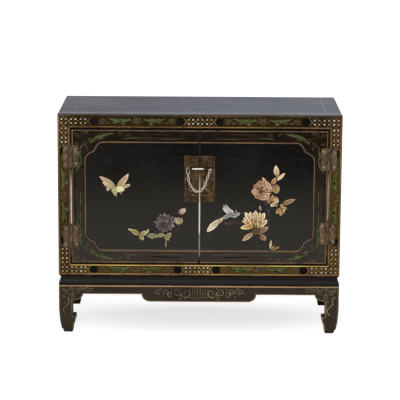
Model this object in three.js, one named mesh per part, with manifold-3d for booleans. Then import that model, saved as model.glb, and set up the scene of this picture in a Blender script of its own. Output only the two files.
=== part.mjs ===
// Black lacquer cabinet on a low stand with hoof feet: two doors on surface hinges,
// held shut by a bronze lock whose pin hangs on a small chain, and carved stone
// birds and flowers set on the doors. Millimetres, +Z up, the doors face -Y, and
// the origin lies on the floor under the middle of the whole object.
import * as THREE from 'three';
import { mergeVertices } from 'three/addons/utils/BufferGeometryUtils.js';
import Module from 'manifold-3d';

const wasm = await Module();
wasm.setup();

// Case
const caseWidth = 810;
const caseDepth = 370;
const caseHeight = 467;
const boardThickness = 18;
const backThickness = 10;
const backRebate = 9;
const panelClearance = 0.3;

// Face frame round the doors
const frameThickness = 22;
const stileWidth = 35;
const topRailHeight = 39;
const bottomRailHeight = 31;

// Doors and the sunk field that runs across both
const doorThickness = 20;
const doorGap = 4;
const meetingGap = 5;
const fieldSideMargin = 38;
const fieldEndMargin = 35;
const fieldSink = 2.5;
const fieldBevel = 4;
const lobeReach = 52;
const lobeHandle = 36;
const cuspInset = 26;

// Inside the case
const shelfThickness = 12;
const shelfRise = 205;
const cleatHeight = 14;
const cleatWidth = 12;
const postWidth = 14;
const postDepth = 16;
const stopWidth = 26;
const stopThickness = 6;

// Base moulding under the case
const baseMouldingHeight = 9;
const waistInset = 7;

// Stand
const standHeight = 175;
const standTopThickness = 23;
const standLip = 8;
const legWidth = 39;
const apronThickness = 20;
const apronDepth = 26;
const bracketWidth = 31;
const bracketDrop = 19;
const frontDropWidth = 332;
const sideDropWidth = 120;
const dropDepth = 22;
const dropCornerWidth = 25;

// Hoof foot of a leg, measured inwards from the leg's outer face and up from the floor
const footInset = 14;
const footWidth = 23;
const footBendHeight = 72;
const footBendInset = 3;
const footBendRise = 22;
const ankleInset = 40.5;
const ankleHeight = 12;
const hookInset = 48.5;
const hookHeight = 46.5;
const hookTop = 51.5;
const hookThroat = 48.5;

// Surface hinges
const hingeHeight = 64;
const hingeLeafWidth = 22;
const hingePlate = 2.2;
const knuckleCount = 5;
const knuckleRadius = 4.5;
const knuckleGap = 0.4;
const hingePinRadius = 1.5;
const hingePinClearance = 0.12;
const hingePinHead = 1.4;
const plateCorner = 4;
const rivetRadius = 3.2;
const rivetRise = 1.5;
const rivetSideInset = 6.5;
const rivetEndInset = 10;
const metalSeat = 0.3;
const topLeftHingeDrop = 77;
const topRightHingeDrop = 82.5;
const bottomLeftHingeRise = 78;
const bottomRightHingeRise = 90.5;

// Lock
const lockPlateWidth = 42.5;
const lockPlateHeight = 135;
const lockPlateThickness = 2.2;
const lockPlateGap = 4;
const lockPlateRiseShare = 0.636;
const lockPlateCorner = 5;
const lockEyeReach = 14;
const lockEyeRadius = 5.5;
const lockEyeWidth = 6;
const lockEyeFoot = 15;
const lockEyeFootThickness = 2;
const leftEyeOffset = 25;
const rightEyeOffset = 19;
const lockPinDrop = 36.5;
const lockPinRadius = 2.2;
const lockPinClearance = 0.6;
const lockPinTipOverrun = 3;
const lockPinHeadOffset = 40.5;
const lockPinHeadRadius = 3.2;
const lockPinNeck = 1;

// Chain that keeps the lock pin
const chainWire = 1.5;
const chainPitch = 9.6;
const chainLinkWidth = 5.4;
const chainFuse = 0.4;
const chainRingOffset = 33;
const chainRingHeight = 20;
const chainRingWidth = 11;
const chainRingTurn = Math.PI / 6;
const chainSlack = 0.3;
const chainSag = 47;
const chainStandOff = 4.2;
const chainStapleOffset = 30.5;
const chainStapleDrop = 2;
const chainStapleWidth = 9;
const chainStapleReach = 6.6;

// Carved stone inlays: their height above the sunk field, and how far the buds hang under the lock
const stoneRise = 6;
const highBudDrop = 24.5;
const lowBudDrop = 52;

// Places worked out from the sizes above
const halfWidth = caseWidth / 2;
const caseFloor = standHeight;
const caseTop = standHeight + caseHeight;
const face = (lockEyeReach - caseDepth) / 2;
const carcassFront = face + frameThickness;
const rear = face + caseDepth;
const insideHalf = halfWidth - boardThickness;
const insideFloor = caseFloor + boardThickness;
const insideTop = caseTop - boardThickness;
const openingHalf = halfWidth - stileWidth;
const openingFloor = caseFloor + bottomRailHeight;
const openingTop = caseTop - topRailHeight;
const doorFloor = openingFloor + doorGap;
const doorTop = openingTop - doorGap;
const doorOuter = openingHalf - doorGap;
const doorInner = meetingGap / 2;
const hingeAxisX = (openingHalf + doorOuter) / 2;
const hingeAxisY = face - metalSeat - knuckleRadius;
const fieldHalf = doorOuter - fieldSideMargin;
const fieldFloor = doorFloor + fieldEndMargin;
const fieldTop = doorTop - fieldEndMargin;
const fieldMiddle = (fieldFloor + fieldTop) / 2;
const fieldHalfHeight = (fieldTop - fieldFloor) / 2;
const fieldFace = face + fieldSink;
const inlayUnit = Math.min(fieldHalf / 2, fieldHalfHeight);
const legTop = standHeight - baseMouldingHeight - standTopThickness;
const legInner = halfWidth - legWidth;
const lockPlateMiddle = doorFloor + (doorTop - doorFloor) * lockPlateRiseShare;
const lockPlateFloor = lockPlateMiddle - lockPlateHeight / 2;
const lockPlateFront = face + fieldSink - metalSeat - lockPlateThickness;
const pinZ = lockPlateFloor + lockPlateHeight - lockPinDrop;
const pinY = face - lockEyeReach + lockEyeRadius;

// Finishes
const lacquer = { color: 0x1e1d1b, roughness: 0.32, metalness: 0 };
const borderLacquer = { color: 0x2b2016, roughness: 0.38, metalness: 0 };
const bareWood = { color: 0xb9b2a4, roughness: 0.7, metalness: 0 };
const insideWood = { color: 0x3a2a1e, roughness: 0.6, metalness: 0 };
const bronze = { color: 0x6d563a, roughness: 0.45, metalness: 0.85 };
const darkBronze = { color: 0x3b2e20, roughness: 0.5, metalness: 0.8 };
const silver = { color: 0xd8cec2, roughness: 0.25, metalness: 0.95 };
const stoneColors = {
  inlay_bird_left: 0xc9b27a,
  inlay_flower_purple: 0x4a3844,
  inlay_leaves_left: 0x8f8c58,
  inlay_bud_low: 0x8a815c,
  inlay_bud_high: 0x9a9570,
  inlay_bird_right: 0x7d8580,
  inlay_leaf_long: 0xcfc6b0,
  inlay_flower_cream: 0xd2bd86,
  inlay_leaves_low: 0x9c7f68,
  inlay_flower_pink: 0xb08672,
  inlay_leaves_tall: 0xa98a55,
  inlay_leaves_brown: 0x8f6f4d,
  inlay_grass: 0xa39c62,
};

const cabinet = new THREE.Group();

function piece(name, geometry, finish) {
  const mesh = new THREE.Mesh(geometry, new THREE.MeshStandardMaterial(finish));
  mesh.name = name;
  cabinet.add(mesh);
}

// Keeps only positions, joins shared corners and drops faces that have no area
function weld(geometry) {
  const bare = geometry.clone();
  for (const key of Object.keys(bare.attributes)) {
    if (key !== 'position') bare.deleteAttribute(key);
  }
  const merged = mergeVertices(bare);
  const corners = merged.index.array;
  const kept = [];
  for (let at = 0; at < corners.length; at += 3) {
    const [a, b, c] = [corners[at], corners[at + 1], corners[at + 2]];
    if (a !== b && b !== c && c !== a) kept.push(a, b, c);
  }
  merged.setIndex(kept);
  return merged;
}

function solid(geometry) {
  const merged = weld(geometry);
  return new wasm.Manifold(new wasm.Mesh({
    numProp: 3,
    vertProperties: new Float32Array(merged.attributes.position.array),
    triVerts: new Uint32Array(merged.index.array),
  }));
}

function surface(manifold) {
  const mesh = manifold.getMesh();
  const geometry = new THREE.BufferGeometry();
  geometry.setAttribute('position', new THREE.Float32BufferAttribute(mesh.vertProperties, 3));
  geometry.setIndex(Array.from(mesh.triVerts));
  return geometry;
}

function unite(geometries) {
  let whole = solid(geometries[0]);
  for (const geometry of geometries.slice(1)) whole = whole.add(solid(geometry));
  return whole;
}

function block([x0, x1], [y0, y1], [z0, z1]) {
  const geometry = new THREE.BoxGeometry(x1 - x0, y1 - y0, z1 - z0);
  geometry.translate((x0 + x1) / 2, (y0 + y1) / 2, (z0 + z1) / 2);
  return geometry;
}

function sided(side, low, high) {
  return side < 0 ? [-high, -low] : [low, high];
}

// A shape drawn in X and Z, carried back from y = front by its depth
function frontProfile(shape, front, depth, options = {}) {
  const geometry = new THREE.ExtrudeGeometry(shape, {
    depth, bevelEnabled: false, curveSegments: 6, ...options,
  });
  geometry.rotateX(Math.PI / 2);
  geometry.translate(0, front + depth, 0);
  return geometry;
}

// A shape drawn in Y and Z, carried along +X from x = start by its length
function sideProfile(shape, start, length, options = {}) {
  const geometry = new THREE.ExtrudeGeometry(shape, {
    depth: length, bevelEnabled: false, curveSegments: 6, ...options,
  });
  const turn = new THREE.Matrix4().makeBasis(
    new THREE.Vector3(0, 1, 0), new THREE.Vector3(0, 0, 1), new THREE.Vector3(1, 0, 0));
  geometry.applyMatrix4(turn);
  geometry.translate(start, 0, 0);
  return geometry;
}

// Carcass: boards behind the face frame, with a housing cut for the back panel
function addCarcass() {
  const depth = [carcassFront, rear];
  const backHalf = insideHalf + backRebate;
  const backSpan = [insideFloor - backRebate, insideTop + backRebate];
  const housing = () => solid(block(
    [-backHalf - panelClearance, backHalf + panelClearance],
    [rear - backThickness - panelClearance, rear + backThickness],
    [backSpan[0] - panelClearance, backSpan[1] + panelClearance]));
  for (const [name, side] of [['case_side_left', -1], ['case_side_right', 1]]) {
    const board = solid(block(sided(side, insideHalf, halfWidth), depth, [caseFloor, insideTop]));
    piece(name, surface(board.subtract(housing())), lacquer);
  }
  const top = solid(block([-halfWidth, halfWidth], depth, [insideTop, caseTop]));
  piece('case_top', surface(top.subtract(housing())), lacquer);
  const floor = solid(block([-insideHalf, insideHalf], depth, [caseFloor, insideFloor]));
  piece('case_bottom', surface(floor.subtract(housing())), insideWood);
  piece('case_back', block([-backHalf, backHalf], [rear - backThickness, rear], backSpan), lacquer);
}

// Face frame: two stiles the full height of the case, with the rails between them
function addFaceFrame() {
  const depth = [face, carcassFront];
  for (const [name, side] of [['front_stile_left', -1], ['front_stile_right', 1]]) {
    piece(name, block(sided(side, openingHalf, halfWidth), depth, [caseFloor, caseTop]), borderLacquer);
  }
  const width = [-openingHalf, openingHalf];
  piece('front_top_rail', block(width, depth, [openingTop, caseTop]), borderLacquer);
  piece('front_bottom_rail', block(width, depth, [caseFloor, openingFloor]), borderLacquer);
}

// Shelf on two cleats, the middle post and the pale strips that the doors close against
function addInside() {
  const shelfFloor = insideFloor + shelfRise;
  const postBack = carcassFront + postDepth;
  const depth = [postBack + panelClearance, rear - backThickness - panelClearance];
  piece('shelf', block([-insideHalf + panelClearance, insideHalf - panelClearance], depth,
    [shelfFloor, shelfFloor + shelfThickness]), insideWood);
  for (const [name, side] of [['shelf_cleat_left', -1], ['shelf_cleat_right', 1]]) {
    piece(name, block(sided(side, insideHalf - cleatWidth, insideHalf), depth,
      [shelfFloor - cleatHeight, shelfFloor]), insideWood);
  }
  piece('middle_post', block([-postWidth / 2, postWidth / 2], [carcassFront, postBack],
    [insideFloor, insideTop]), bareWood);
  for (const [name, side] of [['door_stop_left', -1], ['door_stop_right', 1]]) {
    piece(name, block(sided(side, insideHalf - stopWidth, insideHalf),
      [carcassFront, carcassFront + stopThickness], [insideFloor, insideTop]), bareWood);
  }
}

// A board with a moulded edge, lofted through its levels, each a height and an inset
function mouldedBoard(levels) {
  const positions = [];
  for (const [z, inset] of levels) {
    const [x, y0, y1] = [halfWidth - inset, face + inset, rear - inset];
    positions.push(-x, y0, z, x, y0, z, x, y1, z, -x, y1, z);
  }
  const faces = [0, 2, 1, 0, 3, 2];
  const corners = 4;
  for (let level = 0; level + 1 < levels.length; level += 1) {
    for (let corner = 0; corner < corners; corner += 1) {
      const [a, b] = [level * corners + corner, level * corners + (corner + 1) % corners];
      faces.push(a, b, b + corners, a, b + corners, a + corners);
    }
  }
  const top = (levels.length - 1) * corners;
  faces.push(top, top + 1, top + 2, top, top + 2, top + 3);
  const geometry = new THREE.BufferGeometry();
  geometry.setAttribute('position', new THREE.Float32BufferAttribute(positions, 3));
  geometry.setIndex(faces);
  return geometry;
}

// The case tapers to a waist, and the stand's top swells out again in a bead and a cove
function addWaist() {
  const waist = caseFloor - baseMouldingHeight;
  piece('case_base_moulding', mouldedBoard([[waist, waistInset], [caseFloor, 0]]), lacquer);
  const coveHeight = standTopThickness - standLip;
  const coveShares = [[0, 0], [0.13, 0.12], [0.3, 0.5], [0.55, 0.72], [0.72, 0.75], [0.8, 1], [1, 1]];
  const levels = coveShares.map(([rise, inset]) => [
    legTop + standLip + coveHeight * rise, waistInset * inset,
  ]);
  piece('stand_top', mouldedBoard([[legTop, 0], ...levels]), lacquer);
}

// Outline of a leg seen square on: outer is the leg's outer face, inward is 1 or -1
function legShape(outer, inward) {
  const at = (inset) => outer + inward * inset;
  const shape = new THREE.Shape();
  shape.moveTo(at(0), legTop);
  shape.lineTo(at(0), footBendHeight);
  shape.quadraticCurveTo(at(footBendInset), footBendRise, at(footInset), 0);
  shape.lineTo(at(footInset + footWidth), 0);
  shape.quadraticCurveTo(at(ankleInset), ankleHeight / 3, at(ankleInset), ankleHeight);
  shape.bezierCurveTo(at(ankleInset), (ankleHeight + hookHeight) / 2,
    at(hookInset), (ankleHeight + hookHeight) / 2, at(hookInset), hookHeight);
  shape.quadraticCurveTo(at(hookInset), hookTop, at((hookInset + legWidth) / 2), hookTop);
  shape.quadraticCurveTo(at(legWidth), hookTop, at(legWidth), hookThroat);
  shape.lineTo(at(legWidth), legTop);
  return shape;
}

// Each leg is the same outline cut from two sides, so that its hoof curls both ways
function addLegs() {
  const reach = hookInset + legWidth;
  for (const [sideName, side] of [['left', -1], ['right', 1]]) {
    for (const [endName, outerY, inward] of [['front', face, 1], ['back', rear, -1]]) {
      const start = side < 0 ? -halfWidth : halfWidth - reach;
      const front = inward > 0 ? outerY : outerY - reach;
      const seenFromFront = frontProfile(legShape(side * halfWidth, -side), front, reach);
      const seenFromSide = sideProfile(legShape(outerY, inward), start, reach);
      const leg = solid(seenFromFront).intersect(solid(seenFromSide));
      piece(`leg_${endName}_${sideName}`, surface(leg), lacquer);
    }
  }
}

// Apron outline between two legs: a rounded bracket at each end, and a drop in the middle
function apronShape(low, high, dropWidth) {
  const edge = legTop - apronDepth;
  const middle = (low + high) / 2;
  const shape = new THREE.Shape();
  shape.moveTo(low, legTop);
  shape.lineTo(low, edge - bracketDrop);
  shape.absellipse(low, edge, bracketWidth, bracketDrop, -Math.PI / 2, 0, false, 0);
  if (dropWidth > 0) {
    const corner = middle - dropWidth / 2 + dropCornerWidth;
    shape.absellipse(corner, edge, dropCornerWidth, dropDepth, Math.PI, Math.PI * 3 / 2, false, 0);
    const farCorner = middle + dropWidth / 2 - dropCornerWidth;
    shape.absellipse(farCorner, edge, dropCornerWidth, dropDepth, -Math.PI / 2, 0, false, 0);
  }
  shape.absellipse(high, edge, bracketWidth, bracketDrop, Math.PI, Math.PI * 3 / 2, false, 0);
  shape.lineTo(high, legTop);
  return shape;
}

function addAprons() {
  const front = apronShape(-legInner, legInner, frontDropWidth);
  piece('apron_front', frontProfile(front, face, apronThickness), lacquer);
  const back = apronShape(-legInner, legInner, 0);
  piece('apron_back', frontProfile(back, rear - apronThickness, apronThickness), lacquer);
  const side = apronShape(face + legWidth, rear - legWidth, sideDropWidth);
  piece('apron_left', sideProfile(side, -halfWidth, apronThickness), lacquer);
  piece('apron_right', sideProfile(side, halfWidth - apronThickness, apronThickness), lacquer);
}

// The field's outline across both doors: at each corner two lobes meet in a cusp
function fieldShape() {
  const shape = new THREE.Shape();
  const corner = (sideX, sideZ, startsOnUpright) => {
    const edgeX = sideX * fieldHalf;
    const edgeZ = sideZ > 0 ? fieldTop : fieldFloor;
    const upright = [edgeX, edgeZ - sideZ * lobeReach, edgeX, edgeZ - sideZ * lobeHandle];
    const level = [edgeX - sideX * lobeReach, edgeZ, edgeX - sideX * lobeHandle, edgeZ];
    const [first, last] = startsOnUpright ? [upright, level] : [level, upright];
    const cusp = [edgeX - sideX * cuspInset, edgeZ - sideZ * cuspInset];
    if (shape.curves.length === 0) shape.moveTo(first[0], first[1]);
    else shape.lineTo(first[0], first[1]);
    shape.quadraticCurveTo(first[2], first[3], cusp[0], cusp[1]);
    shape.quadraticCurveTo(last[2], last[3], last[0], last[1]);
  };
  corner(-1, -1, true);
  corner(1, -1, false);
  corner(1, 1, true);
  corner(-1, 1, false);
  shape.closePath();
  return shape;
}

// Doors: flat boards, with the one shared field sunk into both on a narrow bevel
function addDoors() {
  const cutter = frontProfile(fieldShape(), face - doorThickness, doorThickness, {
    bevelEnabled: true, bevelThickness: fieldSink, bevelSize: fieldBevel, bevelOffset: -fieldBevel,
    bevelSegments: 1, curveSegments: 5,
  });
  for (const [name, side] of [['door_left', -1], ['door_right', 1]]) {
    const board = solid(block(sided(side, doorInner, doorOuter), [face, face + doorThickness],
      [doorFloor, doorTop]));
    piece(name, surface(board.subtract(solid(cutter))), lacquer);
  }
}

// A low domed rivet head on a plate, standing towards the front
function rivetHead(x, z, plateFront, radius, rise) {
  const sides = 8;
  const domeShares = [[0, -1], [1, -1], [0.95, 0.4], [0.55, 1], [0, 1]];
  const outline = domeShares.map(([r, y]) => new THREE.Vector2(r * radius, y * rise));
  const geometry = new THREE.LatheGeometry(outline, sides);
  geometry.rotateX(Math.PI);
  geometry.translate(x, plateFront, z);
  return geometry;
}

// Plate outline in X and Z with its four corners rounded
function roundedPlate([x0, x1], [z0, z1], corner) {
  const shape = new THREE.Shape();
  shape.moveTo(x0 + corner, z0);
  shape.lineTo(x1 - corner, z0);
  shape.quadraticCurveTo(x1, z0, x1, z0 + corner);
  shape.lineTo(x1, z1 - corner);
  shape.quadraticCurveTo(x1, z1, x1 - corner, z1);
  shape.lineTo(x0 + corner, z1);
  shape.quadraticCurveTo(x0, z1, x0, z1 - corner);
  shape.lineTo(x0, z0 + corner);
  shape.quadraticCurveTo(x0, z0, x0 + corner, z0);
  return shape;
}

function upright(radius, z0, z1, sides) {
  const geometry = new THREE.CylinderGeometry(radius, radius, z1 - z0, sides);
  geometry.rotateX(Math.PI / 2);
  geometry.translate(0, 0, (z0 + z1) / 2);
  return geometry;
}

// One leaf of a hinge: a plate with two rivets, and every second knuckle round the pin
function hingeLeaf(axisX, centreZ, towards, firstKnuckle) {
  const sides = 12;
  const floor = centreZ - hingeHeight / 2;
  const reliefEdge = knuckleRadius + knuckleGap;
  const low = axisX + Math.min(towards * reliefEdge, towards * hingeLeafWidth);
  const high = axisX + Math.max(towards * reliefEdge, towards * hingeLeafWidth);
  const plateFront = face - metalSeat - hingePlate;
  const plate = frontProfile(roundedPlate([low, high], [floor, floor + hingeHeight], plateCorner),
    plateFront, hingePlate, { curveSegments: 3 });
  let leaf = solid(plate);
  const step = hingeHeight / knuckleCount;
  for (let knuckle = firstKnuckle; knuckle < knuckleCount; knuckle += 2) {
    const z0 = floor + knuckle * step + (knuckle > 0 ? knuckleGap / 2 : 0);
    const z1 = floor + (knuckle + 1) * step - (knuckle + 1 < knuckleCount ? knuckleGap / 2 : 0);
    const barrel = upright(knuckleRadius, z0, z1, sides);
    barrel.translate(axisX, hingeAxisY, 0);
    const webEdge = axisX + towards * (reliefEdge + plateCorner);
    const web = block([Math.min(axisX, webEdge), Math.max(axisX, webEdge)],
      [plateFront, plateFront + hingePlate], [z0, z1]);
    leaf = leaf.add(solid(barrel)).add(solid(web));
  }
  const bore = upright(hingePinRadius + hingePinClearance, floor - step, floor + hingeHeight + step, sides);
  bore.translate(axisX, hingeAxisY, 0);
  leaf = leaf.subtract(solid(bore));
  for (const z of [floor + rivetEndInset, floor + hingeHeight - rivetEndInset]) {
    const x = axisX + towards * (hingeLeafWidth - rivetSideInset);
    leaf = leaf.add(solid(rivetHead(x, z, plateFront, rivetRadius, rivetRise)));
  }
  return surface(leaf);
}

// Hinge pin with a thin domed head at each end
function hingePin(axisX, centreZ) {
  const sides = 12;
  const half = hingeHeight / 2 + metalSeat;
  const domeShare = 0.7;
  const headRadius = hingePinRadius + hingePinHead / 2;
  const outline = [[hingePinRadius, half], [headRadius, half],
    [headRadius * domeShare, half + hingePinHead * domeShare], [0, half + hingePinHead]];
  for (const [r, y] of outline.slice()) outline.unshift([r, -y]);
  const geometry = new THREE.LatheGeometry(outline.map(([r, y]) => new THREE.Vector2(r, y)), sides);
  geometry.rotateX(Math.PI / 2);
  geometry.translate(axisX, hingeAxisY, centreZ);
  return weld(geometry);
}

function addHinges() {
  const hinges = [
    ['top_left', -1, doorTop - topLeftHingeDrop],
    ['bottom_left', -1, doorFloor + bottomLeftHingeRise],
    ['top_right', 1, doorTop - topRightHingeDrop],
    ['bottom_right', 1, doorFloor + bottomRightHingeRise],
  ];
  for (const [name, side, centreZ] of hinges) {
    const axisX = side * hingeAxisX;
    piece(`hinge_${name}_fixed_leaf`, hingeLeaf(axisX, centreZ, side, 0), bronze);
    piece(`hinge_${name}_door_leaf`, hingeLeaf(axisX, centreZ, -side, 1), bronze);
    piece(`hinge_${name}_pin`, hingePin(axisX, centreZ), darkBronze);
  }
}

// A lock eye: a rounded lug on a thin foot, bored along X for the pin
function lockEye(centreX) {
  const back = lockPlateFront - metalSeat;
  const shape = new THREE.Shape();
  const footFront = back - lockEyeFootThickness;
  shape.moveTo(back, pinZ + lockEyeFoot / 2);
  shape.lineTo(footFront, pinZ + lockEyeFoot / 2);
  shape.lineTo(footFront, pinZ + lockEyeRadius);
  shape.lineTo(pinY, pinZ + lockEyeRadius);
  shape.absarc(pinY, pinZ, lockEyeRadius, Math.PI / 2, Math.PI * 3 / 2, false);
  shape.lineTo(footFront, pinZ - lockEyeRadius);
  shape.lineTo(footFront, pinZ - lockEyeFoot / 2);
  shape.lineTo(back, pinZ - lockEyeFoot / 2);
  const bore = new THREE.Path();
  bore.absarc(pinY, pinZ, lockPinRadius + lockPinClearance, 0, Math.PI * 2, true);
  shape.holes.push(bore);
  return sideProfile(shape, centreX - lockEyeWidth / 2, lockEyeWidth);
}

// Lock pin: a turned rod with a ball head, a neck behind it and a tapered tip
function lockPin() {
  const sides = 12;
  const tip = rightEyeOffset + lockEyeWidth / 2 + lockPinTipOverrun;
  const neckRadius = lockPinRadius - lockPinNeck / 2;
  const head = -lockPinHeadOffset;
  const outline = [new THREE.Vector2(0, head - lockPinHeadRadius)];
  const ballShares = [0.18, 0.36, 0.54, 0.72];
  for (const share of ballShares) {
    const angle = share * Math.PI;
    outline.push(new THREE.Vector2(
      lockPinHeadRadius * Math.sin(angle), head - lockPinHeadRadius * Math.cos(angle)));
  }
  const neckStart = head + lockPinHeadRadius;
  outline.push(new THREE.Vector2(neckRadius, neckStart));
  outline.push(new THREE.Vector2(neckRadius, neckStart + lockPinNeck));
  outline.push(new THREE.Vector2(lockPinRadius, neckStart + lockPinNeck * 2));
  outline.push(new THREE.Vector2(lockPinRadius, tip - lockPinTipOverrun));
  outline.push(new THREE.Vector2(lockPinRadius / 2, tip));
  outline.push(new THREE.Vector2(0, tip));
  const geometry = new THREE.LatheGeometry(outline, sides);
  geometry.rotateZ(-Math.PI / 2);
  geometry.translate(0, pinY, pinZ);
  return weld(geometry);
}

// A chain link: a ring pulled apart along X until it is as long as asked
function link(length, width, wire, sections) {
  const wireSides = 5;
  const radius = (width - wire) / 2;
  const geometry = new THREE.TorusGeometry(radius, wire / 2, wireSides, sections);
  const places = geometry.attributes.position;
  const pull = (length - width) / 2;
  for (let at = 0; at < places.count; at += 1) {
    const x = places.getX(at);
    places.setX(at, x + Math.sign(Math.round(x / radius * sections)) * pull);
  }
  return geometry;
}

// Where the chain hangs, from the foot of its ring to the staple, as equal steps of a catenary
function chainPlaces() {
  const ringMiddle = pinZ + lockPinRadius + chainSlack + chainWire - chainRingHeight / 2;
  const start = new THREE.Vector3(-chainRingOffset, pinY, ringMiddle - chainRingHeight / 2 + chainWire);
  const stapleFront = lockPlateFront - metalSeat - chainStapleReach;
  const end = new THREE.Vector3(chainStapleOffset, stapleFront + chainWire / 2,
    pinZ - chainStapleDrop + chainWire / 2 + chainSlack + chainFuse / 2);
  const low = new THREE.Vector3((start.x + end.x) / 2, lockPlateFront - chainStandOff,
    Math.min(start.z, end.z) - chainSag);
  const bendShare = 0.42;
  const bend = (from) => new THREE.Vector3(from.x + (low.x - from.x) * bendShare, low.y,
    low.z + (from.z - low.z) * bendShare);
  const curve = new THREE.CatmullRomCurve3([start, bend(start), low, bend(end), end]);
  const count = Math.round(curve.getLength() / chainPitch);
  return { ringMiddle, places: curve.getSpacedPoints(count) };
}

function chain() {
  const ringSections = 12;
  const linkSections = 8;
  const { ringMiddle, places } = chainPlaces();
  const ring = link(chainRingHeight, chainRingWidth, chainWire, ringSections);
  ring.rotateY(Math.PI / 2);
  ring.rotateZ(-chainRingTurn);
  ring.translate(-chainRingOffset, pinY, ringMiddle);
  const links = [ring];
  const count = places.length - 1;
  for (let at = 0; at < count; at += 1) {
    const [from, to] = [places[at], places[at + 1]];
    const along = to.clone().sub(from);
    const length = along.length() + 2 * chainWire - chainFuse;
    const oneLink = link(length, chainLinkWidth, chainWire, linkSections);
    const quarterTurns = (count - 1 - at) % 2 === 0 ? 1 : 0;
    oneLink.rotateX(quarterTurns * Math.PI / 2);
    const x = along.normalize();
    const z = new THREE.Vector3(0, -1, 0).addScaledVector(x, x.y).normalize();
    const y = z.clone().cross(x);
    oneLink.applyMatrix4(new THREE.Matrix4().makeBasis(x, y, z));
    oneLink.translate((from.x + to.x) / 2, (from.y + to.y) / 2, (from.z + to.z) / 2);
    links.push(oneLink);
  }
  return surface(unite(links));
}

// Staple on the right plate: a wire bent out, across and back, that holds the last link
function chainStaple() {
  const back = lockPlateFront - metalSeat;
  const front = back - chainStapleReach + chainWire / 2;
  const half = (chainStapleWidth - chainWire) / 2;
  const z = pinZ - chainStapleDrop;
  const path = new THREE.CatmullRomCurve3([
    new THREE.Vector3(chainStapleOffset - half, back, z),
    new THREE.Vector3(chainStapleOffset - half, front + half, z),
    new THREE.Vector3(chainStapleOffset, front, z),
    new THREE.Vector3(chainStapleOffset + half, front + half, z),
    new THREE.Vector3(chainStapleOffset + half, back, z),
  ]);
  const section = new THREE.Shape();
  section.absarc(0, 0, chainWire / 2, 0, Math.PI * 2, false);
  const steps = 12;
  return new THREE.ExtrudeGeometry(section, { steps, extrudePath: path, curveSegments: 3 });
}

function addLock() {
  const zSpan = [lockPlateFloor, lockPlateFloor + lockPlateHeight];
  const eyes = [['left', -1, leftEyeOffset], ['right', 1, rightEyeOffset]];
  for (const [name, side, eyeOffset] of eyes) {
    const near = lockPlateGap / 2;
    const outline = roundedPlate(sided(side, near, near + lockPlateWidth), zSpan, lockPlateCorner);
    piece(`lock_plate_${name}`, frontProfile(outline, lockPlateFront, lockPlateThickness,
      { curveSegments: 3 }), bronze);
    piece(`lock_eye_${name}`, lockEye(side * eyeOffset), darkBronze);
  }
  piece('lock_pin', lockPin(), silver);
  piece('lock_chain', chain(), silver);
  piece('chain_staple', chainStaple(), silver);
}

// A carved petal or leaf lying on the field: pointed at both ends, widest at its belly,
// with a raised middle and a hollow on each side of it
function petal({ length, width, rise, belly }) {
  const stations = 5;
  const acrossShares = [-1, -0.5, 0, 0.5, 1];
  const riseShares = [0, 0.95, 0.7, 0.95, 0];
  const fullness = { width: 0.7, rise: 0.5 };
  const positions = [0, 0, 0];
  for (let station = 1; station < stations; station += 1) {
    const along = station / stations;
    const swell = Math.sin(Math.PI * Math.pow(along, -Math.LN2 / Math.log(belly)));
    const half = width / 2 * Math.pow(swell, fullness.width);
    const height = rise * Math.pow(swell, fullness.rise);
    acrossShares.forEach((share, column) => {
      positions.push(length * along, height * riseShares[column], half * share);
    });
  }
  positions.push(length, 0, 0);
  return petalFaces(positions, stations, acrossShares.length);
}

// Joins a petal's stations to its two tips, and closes it underneath
function petalFaces(positions, stations, columns) {
  const faces = [];
  const last = positions.length / 3 - 1;
  const at = (station, column) => 1 + (station - 1) * columns + column;
  const joinRows = (left, right) => {
    faces.push(0, at(1, right), at(1, left));
    faces.push(last, at(stations - 1, left), at(stations - 1, right));
    for (let station = 1; station + 1 < stations; station += 1) {
      const [a, b] = [at(station, left), at(station, right)];
      const [c, d] = [at(station + 1, left), at(station + 1, right)];
      faces.push(a, d, c, a, b, d);
    }
  };
  for (let column = 0; column + 1 < columns; column += 1) joinRows(column, column + 1);
  joinRows(columns - 1, 0);
  const geometry = new THREE.BufferGeometry();
  geometry.setAttribute('position', new THREE.Float32BufferAttribute(positions, 3));
  geometry.setIndex(faces);
  return geometry;
}

// Lays petals on the field. The carving's span is a share of the room that the field gives,
// and its middle is a share of the field. Each row of a table gives, in shares of the span,
// where the petal's root is, its length and width, then its direction in turns,
// the share of its length where it is widest and its height as a share of the stone's
function inlay(name, [xShare, zShare], spanShare, rowShares) {
  const span = spanShare * inlayUnit;
  const rooted = rowShares.map(([rootX, rootZ, length, width, turns, belly, rise]) => {
    const leaf = petal({ length: length * span, width: width * span, rise: rise * stoneRise, belly });
    leaf.rotateX(Math.PI);
    leaf.rotateY(-turns * Math.PI * 2);
    leaf.translate(rootX * span, 0, rootZ * span);
    return leaf;
  });
  const whole = surface(unite(rooted));
  whole.translate(xShare * fieldHalf, fieldFace - metalSeat, fieldMiddle + zShare * fieldHalfHeight);
  piece(name, whole, { color: stoneColors[name], roughness: 0.35, metalness: 0 });
}

// A flower: rings of petals round a heart, the inner rings shorter and standing higher
function flowerShares(ringShares, squash) {
  const bellyShare = 0.62;
  const rows = [];
  for (const [count, startTurn, reach, width, rise] of ringShares) {
    for (let at = 0; at < count; at += 1) {
      const turns = startTurn + at / count;
      const stretch = 1 - squash * Math.abs(Math.sin(turns * Math.PI * 2));
      rows.push([0, 0, reach * stretch, width, turns, bellyShare, rise]);
    }
  }
  return rows;
}

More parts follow.
